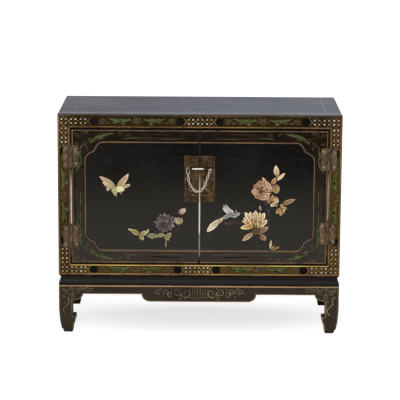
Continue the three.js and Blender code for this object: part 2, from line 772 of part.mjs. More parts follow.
function addLeftInlays() {
  const birdPlaceShares = [-0.735, 0.22];
  const birdSpanShare = 0.577;
  const birdShares = [
    [0.09, -0.08, 0.75, 0.23, 0.41, 0.5, 0.75],
    [0.03, -0.12, 0.67, 0.22, 0.157, 0.5, 0.75],
    [0.1, -0.06, 0.37, 0.14, 0.06, 0.5, 0.6],
    [0.21, 0.03, 0.44, 0.23, 0.62, 0.5, 1],
    [-0.05, -0.16, 0.18, 0.1, 0.81, 0.35, 0.8],
  ];
  inlay('inlay_bird_left', birdPlaceShares, birdSpanShare, birdShares);
  const purplePlaceShares = [-0.302, -0.47];
  const purpleSpanShare = 0.414;
  const purpleRingShares = [[8, 0.02, 0.5, 0.3, 0.55], [5, 0.07, 0.36, 0.28, 0.8], [3, 0.03, 0.22, 0.22, 1]];
  const purpleSquashShare = 0.12;
  inlay('inlay_flower_purple', purplePlaceShares, purpleSpanShare,
    flowerShares(purpleRingShares, purpleSquashShare));
  const sprayPlaceShares = [-0.42, -0.715];
  const spraySpanShare = 0.803;
  const sprayShares = [
    [-0.53, 0.14, 0.32, 0.11, 0.94, 0.6, 0.7],
    [-0.34, 0.02, 0.36, 0.15, 0.035, 0.45, 0.8],
    [-0.14, 0.03, 0.34, 0.1, 0.975, 0.5, 0.6],
    [0.08, -0.02, 0.27, 0.12, 0.02, 0.5, 0.7],
    [0.25, -0.02, 0.24, 0.13, 0.03, 0.5, 0.8],
    [0.36, 0.02, 0.26, 0.05, 0.75, 0.5, 0.5],
  ];
  inlay('inlay_leaves_left', sprayPlaceShares, spraySpanShare, sprayShares);
  const budSpanShare = 0.138;
  const underLock = (drop) => (lockPlateFloor - drop - fieldMiddle) / fieldHalfHeight;
  const lowBudPlaceShares = [-0.183, underLock(lowBudDrop)];
  const lowBudShares = [[-0.45, 0, 0.95, 0.62, 0.02, 0.5, 0.7], [0.05, -0.5, 0.9, 0.6, 0.22, 0.5, 0.7]];
  inlay('inlay_bud_low', lowBudPlaceShares, budSpanShare, lowBudShares);
  const highBudPlaceShares = [-0.143, underLock(highBudDrop)];
  const highBudShares = [[-0.42, -0.3, 1, 0.62, 0.1, 0.5, 0.8]];
  inlay('inlay_bud_high', highBudPlaceShares, budSpanShare, highBudShares);
}

function addRightInlays() {
  const birdPlaceShares = [0.29, -0.25];
  const birdSpanShare = 0.414;
  const birdShares = [
    [0.02, 0.0, 0.6, 0.2, 0.36, 0.6, 0.7],
    [-0.38, -0.14, 0.62, 0.2, 0.03, 0.55, 0.8],
    [0.05, -0.04, 0.42, 0.2, 0.02, 0.55, 1],
    [0.36, 0.0, 0.17, 0.06, 0.02, 0.3, 0.5],
  ];
  inlay('inlay_bird_right', birdPlaceShares, birdSpanShare, birdShares);
  const longPlaceShares = [0.135, -0.5];
  const longSpanShare = 0.414;
  const longShares = [[0.38, 0.34, 1, 0.33, 0.618, 0.6, 0.8]];
  inlay('inlay_leaf_long', longPlaceShares, longSpanShare, longShares);
  const creamPlaceShares = [0.495, -0.33];
  const creamSpanShare = 0.527;
  const creamShares = [
    [0, -0.25, 0.6, 0.26, 0.36, 0.6, 0.6], [0, -0.25, 0.66, 0.27, 0.3, 0.6, 0.75],
    [0, -0.25, 0.68, 0.27, 0.24, 0.6, 0.85], [0, -0.25, 0.66, 0.27, 0.18, 0.6, 0.75],
    [0, -0.25, 0.58, 0.25, 0.12, 0.6, 0.6], [0.02, -0.24, 0.5, 0.2, 0.46, 0.5, 0.55],
    [0, -0.25, 0.5, 0.24, 0.27, 0.6, 1], [0, -0.25, 0.5, 0.24, 0.21, 0.6, 1],
    [0, -0.25, 0.42, 0.22, 0.07, 0.6, 0.5],
  ];
  inlay('inlay_flower_cream', creamPlaceShares, creamSpanShare, creamShares);
  const lowPlaceShares = [0.5, -0.63];
  const lowSpanShare = 0.502;
  const lowShares = [
    [0.03, 0.02, 0.5, 0.16, 0.61, 0.5, 0.7], [-0.06, 0.1, 0.28, 0.26, 0.88, 0.5, 0.9],
    [0.06, 0.02, 0.4, 0.15, 0.87, 0.55, 0.7], [0.1, -0.02, 0.42, 0.16, 0.13, 0.5, 0.7],
  ];
  inlay('inlay_leaves_low', lowPlaceShares, lowSpanShare, lowShares);
  const pinkPlaceShares = [0.548, 0.155];
  const pinkSpanShare = 0.376;
  const pinkRingShares = [[8, 0.01, 0.5, 0.32, 0.6], [5, 0.06, 0.37, 0.29, 0.85], [3, 0.02, 0.22, 0.22, 1]];
  const pinkSquashShare = 0.1;
  const pinkTipShares = [0.06, 0.3, 0.4, 0.2, 0.28, 0.5, 0.6];
  inlay('inlay_flower_pink', pinkPlaceShares, pinkSpanShare,
    [...flowerShares(pinkRingShares, pinkSquashShare), pinkTipShares]);
  const tallPlaceShares = [0.665, 0.2];
  const tallSpanShare = 0.74;
  const tallShares = [
    [0.02, 0.2, 0.34, 0.13, 0.263, 0.45, 0.8], [0.02, 0.16, 0.3, 0.08, 0.12, 0.5, 0.7],
    [-0.08, 0.02, 0.28, 0.14, 0.19, 0.5, 0.8], [-0.02, -0.18, 0.34, 0.17, 0.22, 0.5, 0.9],
    [0.0, -0.12, 0.3, 0.15, 0.76, 0.5, 0.9], [-0.1, -0.4, 0.3, 0.14, 0.2, 0.5, 0.7],
    [-0.06, -0.42, 0.26, 0.13, 0.08, 0.5, 0.8],
  ];
  inlay('inlay_leaves_tall', tallPlaceShares, tallSpanShare, tallShares);
  const brownPlaceShares = [0.765, -0.1];
  const brownSpanShare = 0.389;
  const brownShares = [
    [-0.14, -0.08, 0.72, 0.22, 0.075, 0.4, 0.8], [-0.12, -0.02, 0.42, 0.26, 0.68, 0.5, 0.8],
    [0.02, -0.02, 0.24, 0.16, 0.84, 0.5, 0.7],
  ];
  inlay('inlay_leaves_brown', brownPlaceShares, brownSpanShare, brownShares);
  const grassPlaceShares = [0.678, -0.83];
  const grassSpanShare = 0.251;
  const grassShares = [
    [-0.25, -0.42, 0.85, 0.2, 0.26, 0.4, 0.7], [-0.2, -0.4, 0.5, 0.2, 0.13, 0.4, 0.6],
    [-0.1, -0.42, 0.52, 0.22, 0.02, 0.5, 0.6],
  ];
  inlay('inlay_grass', grassPlaceShares, grassSpanShare, grassShares);
}

addCarcass();
addFaceFrame();
addInside();
addWaist();
addLegs();
addAprons();
addDoors();
addHinges();
addLock();
addLeftInlays();
addRightInlays();

export default cabinet;
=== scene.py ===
import math
import random

import bmesh
import bpy
from mathutils import Matrix, Vector
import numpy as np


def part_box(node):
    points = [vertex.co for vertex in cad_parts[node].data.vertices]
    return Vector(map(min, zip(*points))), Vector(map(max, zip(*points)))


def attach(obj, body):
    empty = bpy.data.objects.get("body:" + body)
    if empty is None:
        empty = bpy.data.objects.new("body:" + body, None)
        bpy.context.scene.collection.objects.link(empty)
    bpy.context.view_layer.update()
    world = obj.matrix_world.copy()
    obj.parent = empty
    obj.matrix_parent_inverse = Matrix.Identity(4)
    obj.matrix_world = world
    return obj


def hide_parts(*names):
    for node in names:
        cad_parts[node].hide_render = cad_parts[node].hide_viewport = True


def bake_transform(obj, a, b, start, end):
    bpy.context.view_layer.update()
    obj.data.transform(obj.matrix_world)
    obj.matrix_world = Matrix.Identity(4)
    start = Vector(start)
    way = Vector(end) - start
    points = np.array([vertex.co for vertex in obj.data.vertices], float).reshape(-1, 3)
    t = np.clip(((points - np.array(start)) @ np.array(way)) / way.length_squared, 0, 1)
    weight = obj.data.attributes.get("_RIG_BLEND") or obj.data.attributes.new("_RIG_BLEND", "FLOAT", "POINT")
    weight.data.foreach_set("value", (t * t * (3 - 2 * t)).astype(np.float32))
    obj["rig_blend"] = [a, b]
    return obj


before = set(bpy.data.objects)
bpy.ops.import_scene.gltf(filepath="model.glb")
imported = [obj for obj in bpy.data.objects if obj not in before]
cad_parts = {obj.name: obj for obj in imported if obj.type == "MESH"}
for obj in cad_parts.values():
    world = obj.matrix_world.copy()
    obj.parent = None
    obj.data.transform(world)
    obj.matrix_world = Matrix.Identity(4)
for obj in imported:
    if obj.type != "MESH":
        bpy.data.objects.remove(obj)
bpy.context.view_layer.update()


# The camera stands a little over five metres in front of the cabinet, above its top, with a
# long lens. It looks down a little, and is turned and rolled by a hair, as a hand-set one is.
camera_place = Vector((0.0073, -5.3257, 1.4389))
camera_dip = math.radians(11.447)
camera_turn = math.radians(-0.0658)
camera_roll = math.radians(-0.3565)
forward = Vector((math.sin(camera_turn) * math.cos(camera_dip),
                  math.cos(camera_turn) * math.cos(camera_dip), -math.sin(camera_dip)))
level = Vector((math.cos(camera_turn), -math.sin(camera_turn), 0))
lift = level.cross(forward)
camera_right = math.cos(camera_roll) * level - math.sin(camera_roll) * lift
camera_up = math.sin(camera_roll) * level + math.cos(camera_roll) * lift
lens = bpy.data.cameras.new("camera")
lens.lens = 165.15
lens.sensor_width = 36
camera = bpy.data.objects.new("camera", lens)
camera.matrix_world = Matrix.Translation(camera_place) @ Matrix((
    camera_right, camera_up, -forward)).transposed().to_4x4()
bpy.context.scene.collection.objects.link(camera)
bpy.context.scene.camera = camera
bpy.context.scene.view_settings.view_transform = "Standard"


# The floor is a wide matt white sheet. What the camera sees of it is lifted to paper white, more
# so away from the cabinet's footprint, a painted light that keeps the cabinet's soft shadow under
# it. Reflections see plain paper that fades to dark between about two and three metres away.
def opaque(colour):
    return (*colour, 1)


def add_node(tree, kind, inputs=(), **settings):
    """Adds a node with its inputs linked or set. Colours are written without their alpha."""
    node = tree.nodes.new(kind)
    for name, value in settings.items():
        setattr(node, name, value)
    for name, value in dict(inputs).items():
        socket = node.inputs[name]
        if isinstance(value, bpy.types.NodeSocket):
            tree.links.new(value, socket)
        else:
            socket.default_value = opaque(value) if socket.type == "RGBA" else value
    return node


def math_of(tree, operation, a, b=0.0, c=0.0):
    return add_node(tree, "ShaderNodeMath", {0: a, 1: b, 2: c}, operation=operation).outputs[0]


def vector_of(tree, operation, *inputs):
    return add_node(tree, "ShaderNodeVectorMath", dict(enumerate(inputs)), operation=operation).outputs


def between(tree, value, low, high, to_low=0.0, to_high=1.0):
    """Eases from to_low to to_high while the value goes from low to high."""
    span = {"Value": value, "From Min": low, "From Max": high, "To Min": to_low, "To Max": to_high}
    return add_node(tree, "ShaderNodeMapRange", span, interpolation_type="SMOOTHSTEP").outputs[0]


def show_by_ray(tree, output, lit, mirrored, seen):
    """Gives the light, the mirrors and the camera a shader of their own each."""
    path = add_node(tree, "ShaderNodeLightPath").outputs
    mirror_ray = math_of(tree, "MAXIMUM", path["Is Glossy Ray"], path["Is Transmission Ray"])
    lighting = add_node(tree, "ShaderNodeMixShader", {0: mirror_ray, 1: lit, 2: mirrored}).outputs[0]
    shown = add_node(tree, "ShaderNodeMixShader", {0: path["Is Camera Ray"], 1: lighting, 2: seen})
    add_node(tree, output, {"Surface": shown.outputs[0]})


floor_reach = 40
floor_mesh = bpy.data.meshes.new("floor")
floor_corners = ((-1, -1), (1, -1), (1, 1), (-1, 1))
floor_mesh.from_pydata([(x * floor_reach, y * floor_reach, 0) for x, y in floor_corners], [], [(0, 1, 2, 3)])
floor = bpy.data.objects.new("floor", floor_mesh)
bpy.context.scene.collection.objects.link(floor)
floor_sheet = bpy.data.materials.new("floor_sheet")
floor_sheet.use_nodes = True
tree = floor_sheet.node_tree
tree.nodes.clear()
paper, thin_paper, sheet_end = (
    add_node(tree, "ShaderNodeBsdfDiffuse", {"Color": (shade, shade, shade)}).outputs[0]
    for shade in (0.82, 0.36, 0.03))
spot = add_node(tree, "ShaderNodeNewGeometry").outputs["Position"]
away = vector_of(tree, "LENGTH", spot)["Value"]
around = vector_of(tree, "LENGTH", vector_of(tree, "MULTIPLY", spot, (2.1, 5.6, 1))[0])["Value"]
# Painted light: the lift grows with distance and outside the cabinet's footprint, so its shadow stays under
# it.
far = between(tree, away, 1.2, 3.4, 0.72, 0.85)
clear = between(tree, around, 0.45, 1.15, 0.0, 0.15)
lift_with_painted_light = math_of(tree, "ADD", far, clear)
paper_white = add_node(tree, "ShaderNodeEmission", {"Color": (1, 1, 1), "Strength": lift_with_painted_light}).outputs[0]
looked_at = add_node(tree, "ShaderNodeAddShader", {0: thin_paper, 1: paper_white}).outputs[0]
dusk = between(tree, away, 1.8, 2.7)
mirrored = add_node(tree, "ShaderNodeMixShader", {0: dusk, 1: paper, 2: sheet_end}).outputs[0]
show_by_ray(tree, "ShaderNodeOutputMaterial", paper, mirrored, looked_at)
floor_mesh.materials.append(floor_sheet)


# The studio: a pale room, white where the camera or a reflection looks past the cabinet, and
# dim on the camera's side. One big soft lamp stands over the camera, with a weak one overhead.
def object_place(tree):
    return add_node(tree, "ShaderNodeTexCoord").outputs["Object"]


def axes_of(tree, vector=None):
    """X, Y and Z of a vector, or else of the place on the piece."""
    return add_node(tree, "ShaderNodeSeparateXYZ", {0: vector or object_place(tree)}).outputs


def soft_lamp(name, place, aim, width, power, tint):
    data = bpy.data.lights.new(name, "AREA")
    data.shape = "SQUARE"
    data.size = width
    data.energy = power
    data.color = tint
    lamp = bpy.data.objects.new(name, data)
    lamp.location = place
    lamp.rotation_euler = (Vector(aim) - Vector(place)).to_track_quat("-Z", "Y").to_euler()
    bpy.context.scene.collection.objects.link(lamp)


room = bpy.data.worlds.new("room")
bpy.context.scene.world = room
room.use_nodes = True
tree = room.node_tree
tree.nodes.clear()
toward = axes_of(tree, add_node(tree, "ShaderNodeTexCoord").outputs["Generated"])
behind = between(tree, toward[1], -0.5, 0.4, 0.13, 0.9)
fill_light, room_seen, room_white = (
    add_node(tree, "ShaderNodeBackground", {"Color": tint, "Strength": strength}).outputs[0]
    for tint, strength in (((0.93, 0.96, 1), 0.36), ((0.97, 0.98, 1), behind), ((1, 1, 1), 1)))
show_by_ray(tree, "ShaderNodeOutputWorld", fill_light, room_seen, room_white)
soft_lamp("lamp_front", (-0.5, -4.9, 2.7), (0, 0, 0.35), 2.6, 175, (1, 0.99, 0.975))
soft_lamp("lamp_over", (0.3, 0.2, 3.4), (0, 0, 0.5), 2.4, 30, (0.97, 0.98, 1))


# The lacquer of the stand and case: near black over a brown ground, polished, clouded and
# finely scratched by use, and rubbed down to the ground along the arrises.
MM = 0.001


def new_group(name, inputs, outputs):
    """A node group. A number, a colour or a Vector makes an input of its own kind."""
    group = bpy.data.node_groups.new(name, "ShaderNodeTree")
    for label, value in inputs.items():
        kind = "Color" if isinstance(value, tuple) else "Vector" if isinstance(value, Vector) else "Float"
        socket = group.interface.new_socket(label, in_out="INPUT", socket_type="NodeSocket" + kind)
        socket.default_value = opaque(value) if kind == "Color" else value
    for label in outputs:
        kind = "Color" if label == "Color" else "Float"
        group.interface.new_socket(label, in_out="OUTPUT", socket_type="NodeSocket" + kind)
    return group, add_node(group, "NodeGroupInput").outputs


def blend_colours(tree, share, first, second):
    return add_node(tree, "ShaderNodeMix", {0: share, 6: first, 7: second}, data_type="RGBA").outputs[2]


def noise_of(tree, place, scale, detail, roughness):
    return add_node(tree, "ShaderNodeTexNoise", {"Vector": place, "Scale": scale, "Detail": detail,
                                                 "Roughness": roughness}).outputs["Fac"]


def stretched(tree, scale=(1, 1, 1)):
    return add_node(tree, "ShaderNodeMapping", {"Vector": object_place(tree), "Scale": scale}).outputs[0]


def chained(tree, operation, first, *others):
    for other in others:
        first = math_of(tree, operation, first, other)
    return first


aged_lacquer, given = new_group(
    "aged_lacquer", {"Ground": (0.012, 0.011, 0.01), "Cloud": (0.03, 0.024, 0.02), "Haze": 0.5, "Gloss": 0.3,
                     "Marks": 1.0}, ("Color", "Roughness", "Height"))
tree = aged_lacquer
here = stretched(tree)
clouds = between(tree, noise_of(tree, here, 5, 6, 0.6), 0.38, 0.7)
mottle = noise_of(tree, here, 90, 5, 0.7)
specks = between(tree, noise_of(tree, here, 700, 2, 0.5), 0.66, 0.76)
rubs = between(tree, noise_of(tree, stretched(tree, (7, 30, 260)), 3, 5, 0.7), 0.57, 0.68)
cracks = add_node(tree, "ShaderNodeTexVoronoi", {"Vector": stretched(tree, (1, 1, 0.55)), "Scale": 60},
                  feature="DISTANCE_TO_EDGE").outputs["Distance"]
crazing = between(tree, cracks, 0, 0.02, 1, 0)
haze = math_of(tree, "MULTIPLY", clouds, given["Haze"])
tone = blend_colours(tree, haze, given["Ground"], given["Cloud"])
tone = blend_colours(tree, between(tree, mottle, 0.3, 0.75, 0, 0.35), tone, given["Cloud"])
for marks, strength, colour in ((specks, 0.22, (0.2, 0.19, 0.18)), (rubs, 0.1, (0.14, 0.13, 0.125))):
    marked = math_of(tree, "MULTIPLY", marks, math_of(tree, "MULTIPLY", given["Marks"], strength))
    tone = blend_colours(tree, marked, tone, colour)
rough = math_of(tree, "MULTIPLY_ADD", math_of(tree, "MULTIPLY", rubs, given["Marks"]), 0.16, given["Gloss"])
rough = math_of(tree, "MULTIPLY_ADD", mottle, 0.12, rough)
height = math_of(tree, "MULTIPLY_ADD", mottle, 0.6, math_of(tree, "MULTIPLY", specks, 0.8))
add_node(tree, "NodeGroupOutput", {
    "Color": tone, "Roughness": math_of(tree, "MULTIPLY_ADD", clouds, 0.08, rough),
    "Height": math_of(tree, "MULTIPLY_ADD", crazing, -0.5, height)})

arris_wear, given = new_group(
    "arris_wear", {"Middle": Vector((0, 0, 0)), "Half Size": Vector((1, 1, 1)), "Width": 0.004}, ["Mask"])
tree = arris_wear
here = object_place(tree)
out_from = vector_of(tree, "ABSOLUTE", vector_of(tree, "SUBTRACT", here, given["Middle"])[0])[0]
inwards = axes_of(tree, vector_of(tree, "SUBTRACT", given["Half Size"], out_from)[0])
total, least, most = (chained(tree, operation, *inwards) for operation in ("ADD", "MINIMUM", "MAXIMUM"))
to_arris = chained(tree, "SUBTRACT", total, least, most)
patches = between(tree, noise_of(tree, here, 26, 6, 0.65), 0.42, 0.66, 0.15, 1.6)
ratio = math_of(tree, "DIVIDE", to_arris, math_of(tree, "MULTIPLY", given["Width"], patches))
add_node(tree, "NodeGroupOutput", {"Mask": between(tree, ratio, 0.35, 1, 1, 0)})


def new_finish(name, group, values, depth, constants=()):
    """A material fed by a group's outputs. Its Height is a relief as deep as depth."""
    material = bpy.data.materials.new(name)
    material.use_nodes = True
    tree = material.node_tree
    shader = tree.nodes["Principled BSDF"]
    for output in add_node(tree, "ShaderNodeGroup", values, node_tree=group).outputs:
        socket = {"Color": "Base Color", "Height": "Normal"}.get(output.name, output.name)
        if output.name == "Height":
            bump = {"Height": output, "Distance": depth, "Strength": 1}
            output = add_node(tree, "ShaderNodeBump", bump).outputs[0]
        tree.links.new(output, shader.inputs[socket])
    for socket, value in dict(constants).items():
        shader.inputs[socket].default_value = opaque(value) if isinstance(value, tuple) else value
    return material


def lay_over(material, share, colour):
    """Blends a colour over the colour that a material has so far."""
    base = material.node_tree.nodes["Principled BSDF"].inputs["Base Color"]
    blend = blend_colours(material.node_tree, share, base.links[0].from_socket, colour)
    material.node_tree.links.new(blend, base)


def lacquer(part, ground, cloud, haze=0.5, gloss=0.3, wear=3.5 * MM, rubbed=(0.13, 0.085, 0.055),
            marks=1, sheen=1.38, glint=(1, 1, 1)):
    """The finish of one solid of the frame, rubbed along the arrises of its box."""
    values = {"Ground": ground, "Cloud": cloud, "Haze": haze, "Gloss": gloss, "Marks": marks}
    constants = {"IOR": sheen, "Specular Tint": glint}
    material = new_finish(part, aged_lacquer, values, 0.12 * MM, constants)
    tree = material.node_tree
    low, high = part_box(part)
    box = {"Middle": (low + high) / 2, "Half Size": (high - low) / 2, "Width": wear}
    mask = add_node(tree, "ShaderNodeGroup", box, node_tree=arris_wear).outputs["Mask"]
    lay_over(material, mask, rubbed)
    rough = tree.nodes["Principled BSDF"].inputs["Roughness"]
    tree.links.new(math_of(tree, "MULTIPLY_ADD", mask, 0.2, rough.links[0].from_socket), rough)
    return material


def smooth_object(name, bm, material):
    bmesh.ops.recalc_face_normals(bm, faces=bm.faces)
    mesh = bpy.data.meshes.new(name)
    bm.to_mesh(mesh)
    bm.free()
    for face in mesh.polygons:
        face.use_smooth = True
    mesh.materials.append(material)
    piece = bpy.data.objects.new(name, mesh)
    bpy.context.scene.collection.objects.link(piece)
    return piece


def settle(name, bm, body, material, replaced=(), crease=40):
    """Turns a bmesh into a piece with its finish, on the body that it moves with."""
    piece = smooth_object(name, bm, material)
    piece.data.set_sharp_from_angle(angle=math.radians(crease))
    shading = piece.modifiers.new("even_shading", "WEIGHTED_NORMAL")
    shading.keep_sharp = True
    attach(piece, body)
    if replaced:
        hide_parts(*replaced)


def eased(part, body, material, ease=0.8 * MM, steps=2):
    """A piece of the frame with its arrises eased, as they are before the lacquer goes on."""
    bm = bmesh.new()
    bm.from_mesh(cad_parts[part].data)
    bmesh.ops.remove_doubles(bm, verts=bm.verts, dist=0.01 * MM)
    bmesh.ops.dissolve_limit(bm, angle_limit=math.radians(2), verts=bm.verts, edges=bm.edges)
    arrises = [e for e in bm.edges if e.is_manifold and e.calc_face_angle() > math.radians(28)]
    bmesh.ops.bevel(bm, geom=arrises, offset=ease, offset_type="OFFSET", segments=steps,
                    profile=0.5, affect="EDGES", clamp_overlap=True)
    settle("eased_" + part, bm, body, material, [part])


# The stand's four legs end in hoofs that curl inwards on both sides. Each is one piece of
# wood under dark brown lacquer, tenoned up into the top of the stand.
def brown_lacquer(part, ground, cloud):
    finish = lacquer(part, ground, cloud, haze=0.7, gloss=0.34, wear=3 * MM, sheen=1.3, glint=(1, 0.93, 0.78))
    eased(part, "cabinet", finish)


for place in ("front_left", "front_right", "back_left", "back_right"):
    brown_lacquer(f"leg_{place}", (0.018, 0.0115, 0.0055), (0.047, 0.033, 0.019))


# The aprons between the legs are sawn to shape: a bracket at each end and, on all but the back
# one, a deeper drop in the middle. They are tenoned into the legs and lacquered with them.
for place in ("front", "back", "left", "right"):
    brown_lacquer(f"apron_{place}", (0.0135, 0.0095, 0.0055), (0.036, 0.0245, 0.0145))


# The stand's moulded top board is slate black, and the moulding that the case tapers to is
# brown black. Both are planed from solid wood and glued down. A paler band is painted along a
# step of each, a painted highlight where the step catches the light.
step_highlights = ((166.5 * MM, 2.2 * MM, (0.02, 0.016, 0.012)), (154 * MM, 3.4 * MM, (0.0175, 0.017, 0.0165)))
for part, ground, cloud, rubbed in (
        ("stand_top", (0.0026, 0.0026, 0.0028), (0.0085, 0.008, 0.0078), (0.06, 0.055, 0.055)),
        ("case_base_moulding", (0.0065, 0.0045, 0.0045), (0.014, 0.0095, 0.009), (0.1, 0.07, 0.055))):
    finish = lacquer(part, ground, cloud, haze=0.6, gloss=0.34, wear=2.5 * MM, rubbed=rubbed, sheen=1.2,
                     glint=(1, 0.96, 0.92))
    tree = finish.node_tree
    height = axes_of(tree)[2]
    # Painted highlight: a paler band along the step at each of these heights.
    for level, half, colour in step_highlights:
        away = math_of(tree, "ABSOLUTE", math_of(tree, "SUBTRACT", height, level))
        lay_over(finish, between(tree, away, half, half + 1.5 * MM, 0.8, 0), colour)
    eased(part, "cabinet", finish, ease=0.5 * MM)


# Gilt lines edge the stand: under its top, down the legs, round the hoofs and along the shaped
# apron, with thin scrolls on the drop and the legs. They are brushed in gold size and gilded,
# and the lines down the legs' outer edges are rubbed to brown.
worn_gilding, given = new_group(
    "worn_gilding", {"Bright": (0.6, 0.4, 0.12), "Deep": (0.25, 0.12, 0.04), "Bare": (0.02, 0.012, 0.008),
                     "Lost": 0.3}, ("Color", "Roughness", "Metallic", "Height"))
tree = worn_gilding
here = stretched(tree)
drift = between(tree, noise_of(tree, here, 7, 3, 0.5), 0.36, 0.64)
grain = noise_of(tree, here, 420, 4, 0.7)
lost = math_of(tree, "MULTIPLY", given["Lost"], 0.35)
keep = between(tree, math_of(tree, "SUBTRACT", noise_of(tree, here, 60, 6, 0.75), lost), 0.24, 0.36)
tone = blend_colours(tree, drift, given["Deep"], given["Bright"])
tone = blend_colours(tree, between(tree, grain, 0.3, 0.7, 0, 0.5), tone, given["Deep"])
add_node(tree, "NodeGroupOutput", {
    "Color": blend_colours(tree, keep, given["Bare"], tone),
    "Roughness": math_of(tree, "MULTIPLY_ADD", grain, 0.3, 0.28),
    "Metallic": math_of(tree, "MULTIPLY", keep, 0.7),
    "Height": math_of(tree, "MULTIPLY_ADD", grain, 0.5, keep)})


def gilding(name, bright, deep, lost):
    return new_finish(name, worn_gilding, {"Bright": bright, "Deep": deep, "Lost": lost}, 0.05 * MM)


def skin(bm, rings, closed=False):
    """Joins rings of points, one to the next, and caps the two ends. A ring of one point is a tip."""
    for a, b in zip(rings, rings[1:] + rings[:1] if closed else rings[1:]):
        sides = max(len(a), len(b))
        for at in range(sides):
            after = (at + 1) % sides
            corners = (a[at % len(a)], a[after % len(a)], b[after % len(b)], b[at % len(b)])
            bm.faces.new(list(dict.fromkeys(corners)))
    for end in (rings[0][::-1], rings[-1]):
        if len(end) > 1 and not closed:
            bm.faces.new(end)


stroke_foot = 0.2 * MM
crown_slope = 0.35 * MM


def stroke(bm, path, width, face, rise=0.25 * MM, shift=0.0, closed=False):
    """One brush stroke on a front face. path is in X and Z, and width is half its breadth, or
    one half breadth, or a pair for its two sides, at each point. face is a place in Y, or a
    function of X and Z that gives it."""
    count = len(path)
    rings = []
    for at, (x, z) in enumerate(path):
        before = path[at - 1] if closed else path[max(at - 1, 0)]
        after = path[(at + 1) % count] if closed else path[min(at + 1, count - 1)]
        normals = []
        for (ax, az), (bx, bz) in ((before, (x, z)), ((x, z), after)):
            length = math.hypot(bx - ax, bz - az)
            if length > 0:
                normals.append(((az - bz) / length, (bx - ax) / length))
        nx, nz = sum(n[0] for n in normals), sum(n[1] for n in normals)
        length = math.hypot(nx, nz) or 1
        nx, nz = nx / length, nz / length
        mitre = 1 / max(0.4, nx * normals[0][0] + nz * normals[0][1])
        here = width[at] if isinstance(width, list) else width
        low, high = here if isinstance(here, tuple) else (here, here)
        flat = 1 - min(0.5, crown_slope / max(low, high, 0.01 * MM))
        ring = []
        section = ((-low, -stroke_foot), (-low * flat, rise), (high * flat, rise), (high, -stroke_foot))
        for out, height in section:
            px, pz = x + nx * mitre * (out + shift), z + nz * mitre * (out + shift)
            place = face(px, pz) if callable(face) else face
            ring.append(bm.verts.new((px, place - height, pz)))
        rings.append(ring)
    skin(bm, rings, closed)


def bow(start, control, end, steps=8):
    """Points of one quadratic curve."""
    return [tuple((1 - t) ** 2 * a + 2 * t * (1 - t) * b + t * t * c
                  for a, b, c in zip(start, control, end))
            for t in (step / steps for step in range(steps + 1))]


def pairs(row, at):
    """The places that a row of numbers names, two numbers to each. at gives a place in metres."""
    return [at(x, z) for x, z in zip(row[::2], row[1::2])]


def spiral(bm, middle, size, start_turn, turns, width, face, rise=0.25 * MM):
    """A scroll round a middle that winds in from its rim and tapers. Turns run anticlockwise."""
    steps = 18
    path, widths = [], []
    for step in range(steps + 1):
        share = step / steps
        angle = (start_turn + share * turns) * math.tau
        reach = size * (1 - 0.82 * share)
        path.append((middle[0] + reach * math.cos(angle), middle[1] + reach * math.sin(angle)))
        widths.append(width * (1 - 0.55 * share))
    stroke(bm, path, widths, face, rise)


def curl(bm, start, heading, size, turns, hand, width, face, rise=0.25 * MM):
    """A spiral that leaves start in the direction of heading."""
    middle = (start[0] - hand * size * math.sin(heading), start[1] + hand * size * math.cos(heading))
    spiral(bm, middle, size, heading / math.tau - hand / 4, hand * turns, width, face, rise)


def dot(bm, x, z, radius, face, rise=0.35 * MM):
    """A drop of size or paint."""
    sides = 10
    rings = [], []
    for side in range(sides):
        c, s = radius * math.cos(side * math.tau / sides), radius * math.sin(side * math.tau / sides)
        for ring, share, y in zip(rings, (1, 0.65), (face + stroke_foot, face - rise)):
            ring.append(bm.verts.new((x + share * c, y, z + share * s)))
    skin(bm, rings)


def trim(name, bm, material, body="cabinet"):
    """Settles thin gilding or paint on the lacquered front."""
    settle(name, bm, body, material)


top_line_gilt = gilding("top_line_gilt", (0.62, 0.4, 0.17), (0.4, 0.24, 0.1), 0.05)
stand_gilt = gilding("stand_gilt", (0.5, 0.32, 0.14), (0.26, 0.15, 0.065), 0.15)
stand_scroll_gilt = gilding("stand_scroll_gilt", (0.56, 0.44, 0.25), (0.26, 0.2, 0.115), 0.3)
stand_edge_gilt = gilding("stand_edge_gilt", (0.17, 0.105, 0.062), (0.075, 0.045, 0.028), 0.4)
leg_low, leg_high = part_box("leg_front_left")
apron_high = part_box("apron_front")[1]
stand_half, front_y, apron_half = abs(leg_low.x), leg_low.y, apron_high.x
apron_edge = apron_high.z - 26 * MM
foot_bend = 72 * MM


def leg_front(x, z):
    """The leg's front face: upright, then curving in to the foot."""
    if z >= foot_bend:
        return front_y
    bend_z, bend_in, foot_in = 22 * MM, 3 * MM, 14 * MM
    a, b = foot_bend - 2 * bend_z, 2 * (bend_z - foot_bend)
    t = (-b - math.sqrt(max(0.0, b * b - 4 * a * (foot_bend - max(z, 0.0))))) / (2 * a)
    return front_y + 2 * t * (1 - t) * bend_in + t * t * foot_in


